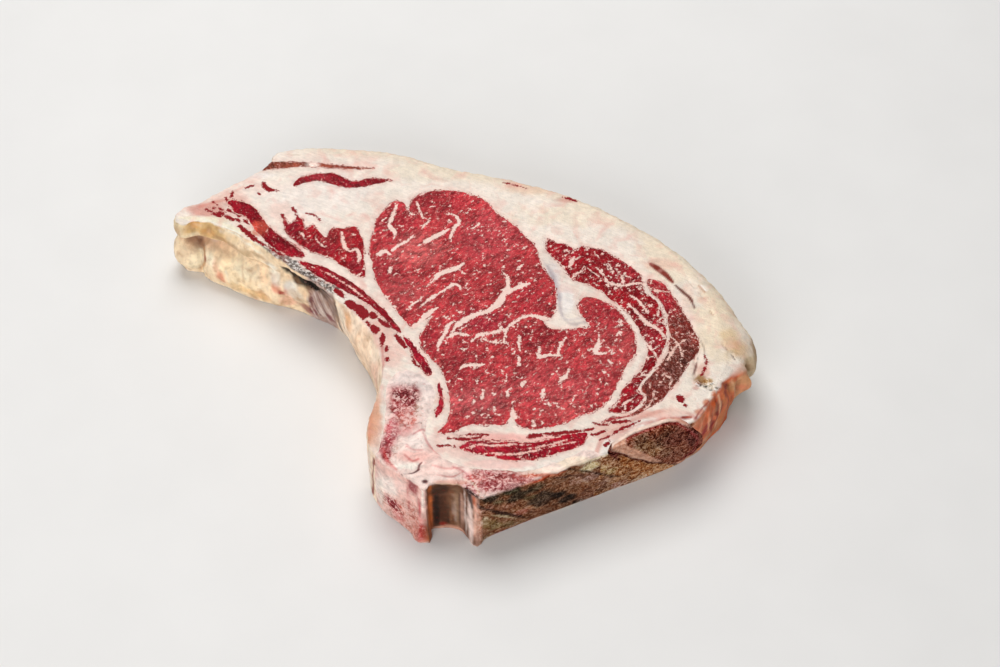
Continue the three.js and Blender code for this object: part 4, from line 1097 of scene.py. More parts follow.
RIB_WALL_STREAKS = [
    # The first streak is a painted highlight along the top of the lip.
    ([(-109, 30), (-104, 30.4), (-96, 29.6), (-89, 29.4), (-80, 28)], (0.5, 1, 0.8, 0.8, 0.5),
     "#fbf4e2", 0.9, 0.5),
    # This brown streak is painted shade along the groove under the lip.
    ([(-118, 22.4), (-112, 21.6), (-106, 21.4), (-100, 22.6)], (0.8, 1.2, 0.7, 0.4),
     "#74523c", 0.6, 0.6),
    ([(-108.6, 15), (-108.2, 12.5), (-109.8, 7.9), (-111.3, 2)], (0.6, 0.9, 0.9, 0.7),
     "#b9804e", 0.85, 0.4),
    ([(-108.2, 13.6), (-108.2, 12.6)], (0.8, 0.8), "#8a1e1c", 0.9, 0.3),
    ([(-99, 12), (-98, 6)], (0.5, 0.8), "#fdf2dc", 0.6, 0.5),
    ([(-91.4, 17), (-91, 11)], (0.4, 0.7), "#d0a070", 0.5, 0.5),
    ([(-84.6, 18), (-84, 10)], (0.4, 0.8), "#fbefd6", 0.6, 0.5),
    # The near-black streak below is painted shade: the hollow under the torn skin.
    ([(-78.6, 28.6), (-74.6, 26.6), (-71.8, 23.6), (-68.6, 21), (-65, 18.6), (-62, 19.6),
      (-59.5, 25), (-56.6, 26), (-53.4, 27), (-50.4, 27.6)],
     (0.6, 1.6, 4, 5, 5.6, 6, 6, 4.6, 3, 1.6), "#100b09", 0.97, 0.8),
    ([(-58.6, 23), (-55.6, 20.6), (-52.4, 20)], (0.8, 1.4, 1), "#5a4840", 0.7, 0.7),
    ([(-50.4, 26), (-49.6, 18), (-49, 9), (-47.6, 2)], (0.8, 1, 1, 0.7), "#3a2420", 0.85, 0.5),
    ([(-62.4, 16), (-60, 10), (-57, 4)], (0.4, 0.8, 0.5), "#571c2c", 0.85, 0.3),
    ([(-60.6, 17), (-57.6, 11.4), (-54.6, 5)], (0.3, 0.6, 0.4), "#e8d9ce", 0.9, 0.3),
    ([(-58.6, 18), (-55.6, 12), (-52.6, 6)], (0.3, 0.7, 0.4), "#672a32", 0.85, 0.3),
    ([(-57, 19.6), (-54, 14), (-51.6, 8)], (0.3, 0.6, 0.4), "#d9c8bc", 0.85, 0.3),
    ([(-55, 21.6), (-52.6, 16), (-50.6, 11)], (0.4, 0.7, 0.5), "#7c5c54", 0.85, 0.3),
    ([(-63.4, 12), (-61.6, 6), (-59.4, 1)], (0.4, 0.7, 0.5), "#e0cfc4", 0.8, 0.3),
]

# %% Spots and streaks on the neck wall: y and height in mm
NECK_WALL = [
    (-12, 16, 9, 14, "#f8d8b8", 0.7), (-26, 14, 8, 14, "#eab49a", 0.6),
    (-40, 16, 10, 14, "#eec498", 0.7), (-56, 18, 10, 14, "#ecc49e", 0.7),
    (-62, 12, 5, 9, "#dd9c80", 0.6), (-68, 14, 1.6, 14, "#f2e6da", 0.9),
    (-34, 8, 3, 8, "#d8806a", 0.5), (-47, 6, 4, 6, "#de9078", 0.4),
]
NECK_WALL_STREAKS = [
    ([(-72.4, 28), (-71.2, 16), (-69.6, 1)], (1.6, 2.8, 2.2), "#7c0f1a", 0.95, 0.5),
    ([(-8, 30), (-7, 16), (-6, 2)], (0.5, 0.9, 0.5), "#c99a6c", 0.5, 0.6),
    ([(-44, 31), (-43, 18), (-45, 4)], (0.5, 1.2, 0.6), "#c97858", 0.5, 0.7),
]

# %% Spots and streaks on the sawn wall (x and height) and on its corner (y and height)
SAW_WALL = [
    (64.5, 26, 2.6, 3.4, "#74341e", 0.9), (59, 22.8, 3.6, 2.4, "#b89a6c", 0.9),
    (63.2, 17.8, 3, 2.2, "#b0905e", 0.85), (60, 31.4, 3, 1.2, "#e2cfae", 0.9),
    (67.6, 15, 3.6, 4.4, "#a4683a", 0.95), (70, 7.4, 4, 4, "#8a5430", 0.95),
    (74.5, 8.6, 4, 4, "#a0683e", 0.95), (78, 5, 4, 3, "#b27c50", 0.9),
    (75.5, 2, 4, 1.6, "#cfae8c", 0.9), (84, 2, 6, 2, "#cc9a78", 0.9),
    (91, 1.4, 5, 2, "#b87a5c", 0.9),
    (60.7, 11, 3.6, 4.4, "#855a46", 0.95), (66, 2.6, 4, 3.2, "#97695a", 0.95),
    (59.7, 5.6, 3, 3.4, "#744630", 0.95),
]
SAW_WALL_STREAKS = [
    ([(57.2, 20.5), (61, 16), (64.8, 11.6), (68, 9.6)], (1.2, 1.1, 1, 0.6), "#35180d", 0.9, 0.4),
    ([(66, 24), (69, 18), (70, 12)], (0.5, 0.8, 0.5), "#7c3a14", 0.7, 0.5),
]
CORNER_WALL = [
    (-55.5, 27, 3, 3.4, "#c85a3c", 0.85), (-53, 14, 3, 9, "#842418", 0.8),
    (-50.6, 18.6, 2.4, 3.6, "#a40c1c", 0.95), (-46.4, 15.6, 2, 2.4, "#8c1216", 0.85),
    (-52.6, 28.4, 3, 3, "#dc7850", 0.85), (-49, 27.4, 2.4, 2.6, "#e87440", 0.85),
    (-45.4, 21, 2.6, 3.4, "#e08058", 0.85), (-44.4, 27.4, 2.2, 3.2, "#d8540e", 0.95),
    (-43, 24, 1.6, 3, "#a83c10", 0.9), (-41, 20, 1, 6, "#7c2410", 0.9),
    (-39.4, 23, 1.3, 6, "#d07a48", 0.85), (-36.2, 27.6, 1, 2.2, "#7a1e14", 0.95),
    (-38.6, 26, 0.9, 2.2, "#8c1a12", 0.95), (-34.4, 25, 2, 3.4, "#d39058", 0.85),
    (-31, 24, 2.4, 4, "#d4a070", 0.85), (-38, 13, 3, 6, "#cf7a4c", 0.85),
    (-40, 6, 4, 4, "#cc8456", 0.85), (-46.4, 5, 4, 5, "#d29a74", 0.85),
    (-27, 24, 3, 4, "#c08a4c", 0.8), (-22, 25, 2.6, 2.4, "#b0793c", 0.8),
    (-26, 14, 4.4, 8, "#d2a674", 0.9), (-31.6, 15, 2, 6, "#c88a58", 0.8),
]
# The pale streaks here are painted highlights on the wet corner; the dark red ones are its colour.
CORNER_WALL_STREAKS = [
    ([(-41.6, 29), (-42, 20), (-41, 10), (-40, 3)], (0.8, 1.4, 1.2, 0.6), "#f8c49c", 0.85, 0.5),
    ([(-49, 29), (-49.4, 22), (-48.6, 14)], (0.8, 1.6, 0.8), "#f4b088", 0.85, 0.4),
    ([(-53.6, 29), (-54, 22), (-52.6, 12)], (0.8, 1.2, 0.8), "#f0a47c", 0.8, 0.4),
    ([(-44.2, 31), (-44.4, 24), (-43.6, 15)], (1.2, 2.2, 1.2), "#7c1006", 0.92, 0.4),
    ([(-47.4, 24), (-46.8, 17), (-45, 10), (-43.6, 5)], (1, 2.2, 1.7, 0.8), "#8a1008", 0.92, 0.5),
    ([(-37, 31), (-37.6, 24), (-37, 14)], (0.8, 1.3, 0.8), "#92240c", 0.85, 0.4),
    ([(-34.2, 30), (-34, 22), (-33, 14)], (0.6, 1.2, 0.8), "#f2c49c", 0.7, 0.5),
    ([(-46.6, 27), (-47.4, 20), (-47, 12)], (0.3, 0.8, 0.5), "#8a2010", 0.8, 0.4),
    ([(-35.4, 28), (-36, 22), (-35, 15)], (0.4, 0.8, 0.5), "#8c4a24", 0.8, 0.4),
    ([(-51.4, 10), (-47, 4), (-43, 1.4)], (0.6, 0.9, 0.5), "#8c3a22", 0.7, 0.4),
]

# %% Paint the cut faces of the fat
points, wall_share, rough = survey(pieces["fat"])
on_grid = points[:, :2]
x, y, z = points.T
muscles = [part for name in LEAN_BASE for part in loop_strokes(loops[name])]
from_lean = stroke_field(on_grid, muscles, 6.0)
from_edge = stroke_field(on_grid, loop_strokes(np.array(WALL)[:, :2], 4), 9.0)
from_feather = stroke_field(on_grid, loop_strokes(loops["feather_bone"]), 6.0)

paint = np.tile(linear("#ede0d2"), (len(points), 1))
tint(paint, 0.55 * np.exp(-from_lean / 1.6), "#e6bcb0")
cap_rim = fade(x + 1.6 * y, 60, 96) * (1 - fade(from_edge, 1, 8))
tint(paint, 0.5 * cap_rim, "#dcc6a6")
# A pale skin and then a pink line run round the spine bone.
tint(paint, 0.6 * (1 - fade(np.abs(from_feather - 4.0), 0.4, 1.4)), "#cf8074")
tint(paint, 0.9 * (1 - fade(np.abs(from_feather - 1.4), 0.8, 1.6)), "#f4e8de")
wash(paint, on_grid, rough, FAT_FACE, FAT_FACE_STREAKS)
print("the cut faces of the fat are painted")

# %% [markdown]
# The wall of the fat has four parts: the rib side with its torn skin, the neck side, the flat wall
# that the saw left, and the bloody corner at its end. Each part gets a mask, a base colour and
# tables of its own. Past the corner, the end of the cap is brownish, with painted shade in its
# creases.

# %% Paint the walls of the fat
on_ribs = fade(52.5 - y, -1, 1) * fade(-26 - x, 0, 3) * fade(y + 4, -3, 3)
on_neck = fade(-25 - x, 0, 2) * fade(-2 - y, -3, 3)
on_saw = fade(SAW_SLOPE * x - y, 90, 93) * fade(96 - x, -2, 2)
on_corner = fade(x, 92, 95) * fade(-24 - y, 0, 9) * (1 - on_saw)
cap_end = fade(x, 104, 109) * fade(-6 - y, 0, 6) * (1 - on_corner)
# Painted shade: this noise darkens the creases at the end of the cap.
crease_shade = fade(noise(points * [1, 1, 0.5], 2.4, 71), 0.05, 0.5)

wall_paint = np.tile(linear("#eed8b4"), (len(points), 1))
for mask, colour in (
    (fade(14 - z, 0, 12) * 0.6, "#dcc49c"),
    (on_ribs, "#fbe0bb"),
    (on_ribs * fade(x, -64, -61) * (1 - fade(x, -51, -49)), "#b89c92"),
    (np.maximum(on_neck, on_ribs * fade(x, -51, -49)), "#fde4ca"),
    (on_saw, "#8a5634"),
    (cap_end * (0.35 + 0.5 * crease_shade), "#a07a50"),
    (on_corner, "#d8683c"),
):
    tint(wall_paint, mask, colour)
for across, spots, streaks, where in (
    (x, RIB_WALL, RIB_WALL_STREAKS, on_ribs), (y, NECK_WALL, NECK_WALL_STREAKS, on_neck),
    (x, SAW_WALL, SAW_WALL_STREAKS, on_saw), (y, CORNER_WALL, CORNER_WALL_STREAKS, on_corner),
):
    wash(wall_paint, np.column_stack([across, z]), rough, spots, streaks, where)
# The ledge under the torn skin faces up, but it takes the wall's paint, the painted shade of the
# hollow.
shaded_ledge = on_ribs * fade(x, -69, -65) * (1 - fade(x, -50, -47)) * fade(30.9 - z, 0, 0.9)
wall_share = np.maximum(wall_share, shaded_ledge)
paint += wall_share[:, None] * (wall_paint - paint)
keep(pieces["fat"], "paint", paint)
print("the walls of the fat are painted")

# %% Keep where the fat is lean, dried or broken open
scrap = np.minimum(stroke_field(on_grid, scrap_strokes), from_lean - FRINGE)
torn = stroke_field(on_grid, [stroke(TORN_EDGE, 1.6, 2.6, 3.0, 3.0, 1.6)])
pit = stroke_field(on_grid, [stroke([(98, -38), (101.4, -38), (105, -40)], 2.4, 4.4, 2.4)])
broken = (1 - fade(np.minimum(torn, pit), -0.4, 1.0)) * (1 - wall_share)
keep(pieces["fat"], "vein", scrap + 4 * wall_share)  # 4 mm more hide the scraps on the walls
keep(pieces["fat"], "outside", wall_share)
keep(pieces["fat"], "sponge", np.maximum(wall_share * on_saw, 0.8 * broken))

# %% [markdown]
# ## Painting the bones
# The vertebra shows smooth cartilage, red marrow and pink sponge on the cut face. The wall that the
# saw left has dried for weeks: its sponge is almost black, with olive and tan patches and darker
# growth lines that run down across it. A value called sponge says where the bone is porous.

# %% Spots and streaks on the cut face of the vertebra: x and y in mm
BONE_FACE = [
    (-17, -37, 9, 6, "#dccac2", 0.9), (-11, -40, 4, 8, "#dfcec6", 0.8),
    (-21, -47, 6, 8, "#a8182c", 0.8), (-17, -44, 5, 5, "#8a1020", 0.75),
    (-23, -44.5, 2, 2.4, "#6a0814", 0.9), (-18, -56, 6, 6, "#d99a92", 0.75),
    (-24, -62, 3, 7, "#b43c4a", 0.75), (-26.6, -70, 3, 6, "#a01c30", 0.8),
    (-26.4, -73.6, 2, 2.4, "#860814", 0.95), (-14, -66, 5, 5, "#f0dcd2", 0.8),
    (-11.6, -51, 3.4, 9, "#ecd8ce", 0.8), (-16, -74, 7, 3, "#e2a89c", 0.7),
    (-18, -78.6, 6, 1.8, "#f4eadc", 0.9), (-8, -72, 4, 4, "#e8b8ac", 0.6),
    (-5, -80, 9, 4, "#ecc8bc", 0.7), (-10.6, -85.8, 1.3, 1, "#48080e", 0.95),
    (14, -85, 12, 6, "#bf6468", 0.85), (24, -83, 9, 4, "#bb6a66", 0.8),
    (20, -88, 8, 2.4, "#96343a", 0.7), (8, -84, 4, 4, "#e2a8a0", 0.7),
    (36, -80.6, 12, 2.6, "#efd6c4", 0.8), (36, -82.6, 8, 1.2, "#c45a34", 0.75),
    (48, -76.6, 8, 3, "#ecd8be", 0.8), (0, -86, 8, 1.4, "#cf8c74", 0.6),
    (-24, -82, 5, 3, "#e8c4ba", 0.7), (-21, -84.4, 2, 1.4, "#c05a56", 0.6),
    (-6, -60, 4, 4, "#ecc4b8", 0.6), (-19, -62, 3, 3, "#d48c88", 0.6),
]
BONE_FACE_STREAKS = [
    ([(-27.4, -70), (-25.6, -76), (-22, -80)], (0.6, 1.4, 0.8), "#c4504e", 0.7, 0.6),
    ([(-19, -73), (-15.6, -76), (-13.6, -75)], (0.4, 0.9, 0.5), "#bc5450", 0.7, 0.4),
    ([(-24.1, -81.2), (-20, -82.2), (-15, -81.6), (-13.4, -80.2)], (0.2, 0.45, 0.45, 0.6),
     "#4c1016", 0.95, 0.25),
    ([(-13.4, -80.2), (-13.2, -78.2), (-12.2, -76.8)], (0.6, 0.7, 0.3), "#6a1018", 0.9, 0.25),
    ([(-12, -62), (-9.6, -68), (-6, -72)], (0.5, 1, 0.5), "#c25a5c", 0.65, 0.6),
    ([(-16, -63), (-12, -60.6), (-10, -62)], (0.6, 1, 0.6), "#b84850", 0.65, 0.5),
    ([(-18.4, -68), (-16, -70.4), (-12, -70.6)], (0.4, 0.9, 0.5), "#cf7470", 0.6, 0.5),
    ([(0, -78.6), (5, -81.4), (7, -86), (9, -91)], (0.6, 0.9, 0.8, 0.6), "#b8525a", 0.65, 0.5),
    # The dark streak below is painted shade in the gap where the outline notches in.
    ([(5, -88.5), (7, -91), (9.2, -93)], (1, 1.8, 1.4), "#3c1c16", 0.95, 0.4),
    ([(3, -84), (8, -86.6), (10.6, -91)], (0.8, 1.2, 0.8), "#f0dccc", 0.8, 0.5),
    ([(-8, -78), (-2, -79.6), (4, -78.6)], (0.5, 0.9, 0.5), "#c86c68", 0.55, 0.5),
    ([(-6, -82.6), (0, -83.4), (4, -81)], (0.4, 0.8, 0.4), "#b8504c", 0.6, 0.4),
    ([(-22.6, -52), (-25, -58), (-25.6, -66)], (0.8, 1.2, 0.8), "#bb4450", 0.6, 0.7),
]

# %% Spots and streaks on the vertebra's walls: x and height in mm
SPINE_WALL = [
    (-15.6, 28, 2.2, 5, "#8c2630", 0.85), (-24.6, 10, 3.4, 4, "#9a1426", 0.95),
    (-25.4, 20, 4, 7, "#f2e2d8", 0.85), (-17, 8, 4, 10, "#cf9080", 0.7),
    (-29.4, 12, 2, 10, "#efe2d6", 0.8), (-14, 6, 2.4, 8, "#c87e70", 0.7),
    (-20.4, 24, 2.4, 6, "#e8c6bc", 0.7), (-19.6, 11, 2.4, 8, "#dcaea2", 0.6),
    (-22.6, 4.6, 2.4, 3, "#c25c58", 0.7), (-16.4, 18, 1.4, 5, "#e0b8ac", 0.6),
]
SPINE_WALL_STREAKS = [
    ([(-13.2, 24), (-13, 12), (-13.2, 1)], (0.7, 1.4, 1.2), "#b42832", 0.85, 0.5),
    ([(-18, 30), (-17.6, 20), (-17.4, 12)], (0.4, 0.9, 0.5), "#b04a4c", 0.6, 0.5),
    ([(-11.6, 30), (-11.6, 15), (-11.8, 0)], (1.1, 1, 1.1), "#f4e8da", 0.95, 0.35),
    ([(-12.4, 10), (-12.6, 4), (-12.4, 0)], (0.5, 1.2, 1.4), "#cf5a3c", 0.7, 0.5),
]
CANAL_WALL = [
    (-8.9, 18, 1.1, 20, "#c06430", 0.95), (-6.6, 13, 2, 14, "#1c0c05", 0.97),
    # The first spot on the next line is painted shadow under the top edge of the canal.
    (-5, 27, 5, 4, "#3a2010", 0.9), (-3.6, 14, 2.2, 13, "#442414", 0.9),
    (-1, 15, 1.7, 12, "#785038", 0.85), (1.6, 15, 1.6, 13, "#9c7a60", 0.85),
    (3.4, 16, 1.2, 12, "#c09684", 0.8), (5, 14, 0.9, 14, "#5e3a26", 0.85),
    (6.8, 14, 1.4, 18, "#f4d8cc", 0.9), (-1.6, 0.8, 7, 1.2, "#cf9880", 0.85),
    (-1, 31.4, 6, 1, "#d8bc98", 0.85), (1.4, 27, 2.6, 2.4, "#6c4e38", 0.8),
    (9, 16, 1.2, 16, "#ecb8a2", 0.9), (-4.4, 3, 1.4, 1.6, "#8c2418", 0.8),
]
CANAL_STREAKS = [
    ([(6.2, 32), (7, 27), (7.8, 21)], (1.8, 1.5, 0.5), "#2c120b", 0.95, 0.4),
    ([(8.4, 30), (8.6, 26)], (1, 1.2), "#b8542c", 0.85, 0.5),
    ([(-2.4, 26), (-2.2, 14), (-2, 4)], (0.3, 0.5, 0.4), "#1e120c", 0.8, 0.3),
    ([(0.4, 24), (0.4, 14), (0.6, 5)], (0.4, 0.7, 0.5), "#c8b0a4", 0.8, 0.3),
    ([(2.6, 25), (2.6, 14), (2.6, 5)], (0.4, 0.6, 0.5), "#402416", 0.8, 0.3),
    ([(4.6, 30), (4.8, 16), (5.2, 2)], (0.6, 0.9, 0.6), "#dcc6bc", 0.85, 0.3),
]
SAWN_WALL = [
    (28.4, 31.4, 3, 1, "#cf7444", 0.9), (35, 30.8, 5, 1.5, "#c24a26", 0.95),
    (42, 30, 4, 1.3, "#9c4426", 0.85), (14.8, 29, 4, 3, "#2a2014", 0.95),
    (22.6, 29.4, 5, 3, "#2e2a18", 0.95), (25.3, 24, 5, 4, "#241e12", 0.9),
    (32.4, 25.6, 5, 3.4, "#3a2e1c", 0.9), (34.5, 17.4, 6, 5, "#38281a", 0.9),
    (18, 25, 3, 2, "#4c4026", 0.8), (30, 20.6, 3, 2, "#5a4a2c", 0.7),
    (13.8, 23, 3, 2.6, "#885440", 0.9), (20.7, 19.1, 5, 2.4, "#8c5840", 0.9),
    (27.4, 10.6, 4, 2.6, "#a05c48", 0.9), (12, 14.4, 2.4, 3, "#a88c68", 0.9),
    (17, 6.4, 3.4, 3, "#947a4e", 0.9), (21.6, 4.6, 3, 2.8, "#6c5232", 0.9),
    (13.5, 1, 4, 2, "#9a7a58", 0.9), (10.4, 12, 1.3, 14, "#dda48a", 0.9),
    (14.4, 10.4, 3, 3.4, "#86693f", 0.85), (25, 1.6, 4, 1.6, "#8c6a4c", 0.8),
    (32.6, 7.5, 4, 4, "#7c4a30", 0.9), (39.5, 4.5, 4, 3, "#6c4028", 0.9),
    (45.6, 2.7, 3.4, 2.4, "#6a4028", 0.9), (42.3, 24.4, 4, 3, "#7c543c", 0.9),
    (49.2, 20, 4, 4, "#906450", 0.9), (54.7, 9.6, 4, 4.6, "#7c482e", 0.9),
    (46.9, 15.4, 4, 3, "#6e4228", 0.9), (41.4, 13.4, 4, 2.8, "#1c110b", 0.95),
    (45.5, 7.8, 4, 3, "#1a0f0a", 0.95), (49.8, 1.4, 3, 2, "#221410", 0.9),
    (36, 12, 4, 3, "#2a1a11", 0.8), (54.4, 19, 4, 3, "#977060", 0.9),
    (53.7, 3.9, 4, 3.2, "#8a5840", 0.9), (54, 26.6, 5, 2.6, "#d4c094", 0.95),
    (56, 31, 5, 1.6, "#e8d8b8", 0.9), (47, 28.4, 4, 1.6, "#8c6446", 0.7),
]
SAWN_WALL_STREAKS = [
    ([(42.6, 32), (46.4, 29.4), (50.2, 26.4), (57.2, 20.3), (62, 15)], (1.2, 0.9, 1.3, 1.1, 0.8),
     "#361a0f", 0.92, 0.4),
    ([(36, 29.6), (41, 27.4), (46, 25), (51, 23)], (0.5, 1.2, 1.6, 0.6), "#48261a", 0.8, 0.6),
    ([(9.7, 26.8), (17.1, 18), (24.6, 9.6), (29.5, 3.2)], (1.5, 2, 1.6, 0.9),
     "#220d08", 0.92, 0.5),
    ([(29, 26), (34, 22), (41, 15), (47, 8)], (0.8, 1.4, 1.8, 1.2), "#20150d", 0.75, 0.8),
    ([(46, 24), (52, 17), (57, 8)], (0.5, 1, 0.6), "#b58a68", 0.55, 0.6),
    ([(24, 14.6), (30, 12), (36, 7.4)], (0.6, 1.2, 0.6), "#a87c58", 0.65, 0.5),
    ([(14, 18), (20, 12.4), (25, 6.6)], (0.5, 0.9, 0.5), "#d2c298", 0.6, 0.5),
]

# %% Paint the vertebra
points, wall_share, rough = survey(pieces["vertebra"])
x, y, z = points.T
on_face, on_wall = points[:, :2], points[:, [0, 2]]
paint = np.tile(linear("#e8cfc4"), (len(points), 1))
wash(paint, on_face, rough, BONE_FACE, BONE_FACE_STREAKS)

on_saw = fade(x, 9, 10.5) * fade(SAW_SLOPE * x - y, 93, 95.5)
on_front = 1 - fade(x, -11, -10)
in_canal = fade(x, -11, -10) * (1 - on_saw)
wall_paint = np.tile(linear("#dfb4a8"), (len(points), 1))
tint(wall_paint, on_saw, "#7c4a2e")
tint(wall_paint, in_canal, "#68402a")
for spots, streaks, where in (
    (SPINE_WALL, SPINE_WALL_STREAKS, on_front), (CANAL_WALL, CANAL_STREAKS, in_canal),
    (SAWN_WALL, SAWN_WALL_STREAKS, on_saw),
):
    wash(wall_paint, on_wall, rough, spots, streaks, where)
paint += wall_share[:, None] * (wall_paint - paint)
keep(pieces["vertebra"], "paint", paint)


# %% Where the vertebra is porous
# x, y or height, two radii in mm, and the share of sponge
FACE_SPONGE = [
    (-19, -49, 8, 11, 1), (-25, -66, 4, 11, 0.7), (15, -86, 13, 8, 1), (27, -84, 10, 4, 0.9),
    (-14, -40, 9, 7, 0.12),
]
WALL_SPONGE = [(-24.6, 9, 5, 7, 1.0), (-17, 9, 5, 11, 0.6), (-15.6, 27, 4, 6, 0.2)]
SPONGE_FADE = (0.6, 1.3)


def porous(place, rough, rows):
    """The share of sponge in the bone: the most of all the spots in a table."""
    share = np.zeros(len(place))
    for *spot, most in rows:
        away = from_spot(place, rough, *spot)
        share = np.maximum(share, most * (1 - fade(away, *SPONGE_FADE)))
    return share


face_sponge = porous(on_face, rough, FACE_SPONGE)
wall_sponge = np.maximum(porous(on_wall, rough, WALL_SPONGE) * on_front, 0.75 * on_saw)
keep(pieces["vertebra"], "sponge", face_sponge + wall_share * (wall_sponge - face_sponge))
keep(pieces["vertebra"], "fresh", 1 - wall_share * on_saw)
print("the vertebra is painted")

# %% [markdown]
# The spine bone's wall is sponge above and open, brown gristle below, with a band of dense beige
# bone between them and a dark line under it. The edges of the band are given as heights along the
# wall.

# %% Paint the feather bone
FEATHER_WALL = [
    (75, 27, 5, 4, "#8e6644", 0.8), (80, 21, 4, 5, "#966c48", 0.75),
    (74, 31.6, 4, 2, "#6c4630", 0.8), (84, 27, 5, 5, "#6c4430", 0.7),
    (90, 25, 6, 7, "#5c2218", 0.75), (96, 20, 4, 8, "#4e1814", 0.85),
    (89, 12, 5, 6, "#7e4632", 0.8), (85, 17, 3, 4, "#8a5c42", 0.7), (98, 9, 4, 6, "#7c3424", 0.8),
    (94, 5, 4, 4, "#8c5038", 0.7),
]
SPONGE_EDGE = ([66, 68, 70.9, 78.6, 83.2, 88], [34.5, 32.6, 29.1, 18.6, 10.4, 2.4])  # x, height
LOWER_EDGE = ([60, 62.8, 69.1, 76.8, 83.3, 87.7, 92], [35, 31.7, 24.5, 15.4, 8.8, 4.0, -1.5])

points, _, rough = survey(pieces["feather_bone"])
x, _, z = points.T
rim = loop_strokes(loops["feather_bone"])
from_rim = stroke_field(drawn_place(points, "feather_bone"), rim, 5.0) + 0.6 * rough
in_sponge = fade(z - np.interp(x, *SPONGE_EDGE) + 1.6 * rough, -0.8, 0.8)
over_edge = z - np.interp(x, *LOWER_EDGE)
below = 1 - fade(over_edge, -0.7, 0.7)
crust = (1 - fade(from_rim, 1.2, 2.2)) * fade(z - 0.6 * (x - 80), 18, 28) * (1 - below)
dense = (1 - in_sponge) * (1 - crust)

paint = np.tile(linear("#7c3e28"), (len(points), 1))
wash(paint, points[:, [0, 2]], rough, FEATHER_WALL)
for mask, colour in (
    (0.8 * (1 - fade(np.abs(from_rim - 2.5), 0.3, 1.1)), "#8c2a26"),
    (crust, "#e8cdbc"),
    (crust * fade(x, 84, 92), "#c08068"),
    ((1 - crust) * (1 - fade(from_rim, 0.2, 0.8)) * 0.5, "#7c2820"),
    (dense, "#cc9a80"),
    (dense * (1 - fade(np.abs(over_edge - 4), 0.5, 1.5)) * 0.5, "#a46c54"),
    (dense * below, "#a5683a"),
    (dense * below * fade(rough, 0.1, 0.7), "#80502e"),
    (dense * below * fade(z, 7, 3), "#c79468"),
    (dense * below * (1 - fade(x, 64.6, 67.2)), "#5a1e14"),
    (dense * (1 - fade(np.abs(over_edge), 0.4, 1.1)), "#4c130e"),
):
    tint(paint, mask, colour)
keep(pieces["feather_bone"], "paint", paint)
keep(pieces["feather_bone"], "sponge", (1 - crust) * (0.35 + 0.65 * np.maximum(in_sponge, below)))
keep(pieces["feather_bone"], "fresh", np.zeros(len(points)))
print("the feather bone is painted")

# %% [markdown]
# ## One helper for materials
# A material is a net of nodes. This helper adds one node, sets its options and fills its inputs
# with numbers or with links from other nodes, so that every material below reads as a recipe. An
# input goes by its name, or by its number where a node has several of one name. A node that is
# given as an input stands for its first output. Blender hides the sockets that a node's options
# leave idle, and those are skipped.

# %% Add a node with its settings and links
def shown(sockets, name=None):
    """The first socket that isn't hidden, and that has the name, if one is given."""
    return next(socket for socket in sockets if socket.enabled and name in (None, socket.name))


def add(tree, kind, inputs=None, **settings):
    node = tree.nodes.new(kind)
    for key, value in settings.items():
        setattr(node, key, value)
    for key, value in (inputs or {}).items():
        socket = shown(node.inputs, key) if isinstance(key, str) else node.inputs[key]
        if isinstance(value, bpy.types.Node):
            value = shown(value.outputs)
        if isinstance(value, bpy.types.NodeSocket):
            tree.links.new(value, socket)
        else:
            socket.default_value = value
    return node


def rgba(hex_colour):
    """An opaque colour, as the sockets of nodes take it."""
    return (*linear(hex_colour), 1.0)


def start_material(name):
    """A new material, its node tree, and a place in millimetres for its patterns."""
    material = bpy.data.materials.new(name)
    material.use_nodes = True
    tree = material.node_tree
    tree.nodes.clear()
    place = add(tree, "ShaderNodeTexCoord").outputs["Object"]
    in_mm = add(tree, "ShaderNodeMapping", {"Vector": place, "Scale": (1 / TO_METRES,) * 3})
    return material, tree, in_mm


def finish_material(tree, shader, height, depth):
    """Bump from a height, depth in mm, and the output."""
    bump = add(tree, "ShaderNodeBump", {
        "Height": height, "Strength": 1.0, "Distance": depth * TO_METRES,
    })
    tree.links.new(bump.outputs[0], shader.inputs["Normal"])
    add(tree, "ShaderNodeOutputMaterial", {"Surface": shader})


# %% [markdown]
# ## What the finishes share
# Tissue is never one flat colour. The first helper makes a colour darker and lighter by patterns.
# The second lays another colour over it, where a pattern has passed a limit. The third turns the
# kept distance to a vein or a scrap into an edge that wanders by half a millimetre, over 2 mm and
# again over a finer size.

# %% Tones, marks and ragged edges
def mottled(tree, colour, patterns):
    """The colour times the tones of some patterns: pattern, its low and high, and their tones."""
    for pattern, low, high, dark, light in patterns:
        tone = add(tree, "ShaderNodeMapRange", {
            "Value": pattern, "From Min": low, "From Max": high, "To Min": dark, "To Max": light,
        })
        colour = add(tree, "ShaderNodeVectorMath", {0: colour, "Scale": tone}, operation="SCALE")
    return colour


def marked(tree, colour, mark, pattern, start, full, cover, where=None):
    """The colour under a mark that covers more and more as the pattern goes from start to full."""
    share = add(tree, "ShaderNodeMapRange", {
        "Value": pattern, "From Min": start, "From Max": full, "To Min": 0.0, "To Max": cover,
    })
    if where is not None:
        share = add(tree, "ShaderNodeMath", {0: share, 1: where}, operation="MULTIPLY")
    return add(tree, "ShaderNodeMix", {"Factor": share, "A": colour, "B": mark}, data_type="RGBA")


def frayed(tree, in_mm, distance, fine_size, limit, most):
    """How much of the tissue inside a stroke shows at a distance from it."""
    # The two noises add 1.95 mm on the average, and the limits lie on both sides of that.
    for size, reach in ((2.2, 2.0), (fine_size, 1.9)):
        wander = add(tree, "ShaderNodeTexNoise", {
            "Vector": in_mm, "Scale": 1 / size, "Detail": 2,
        })
        distance = add(tree, "ShaderNodeMath", {0: wander, 1: reach, 2: distance},
                       operation="MULTIPLY_ADD")
    return add(tree, "ShaderNodeMapRange", {
        "Value": distance, "From Min": limit, "From Max": 1.7, "To Min": 0.0, "To Max": most,
    })
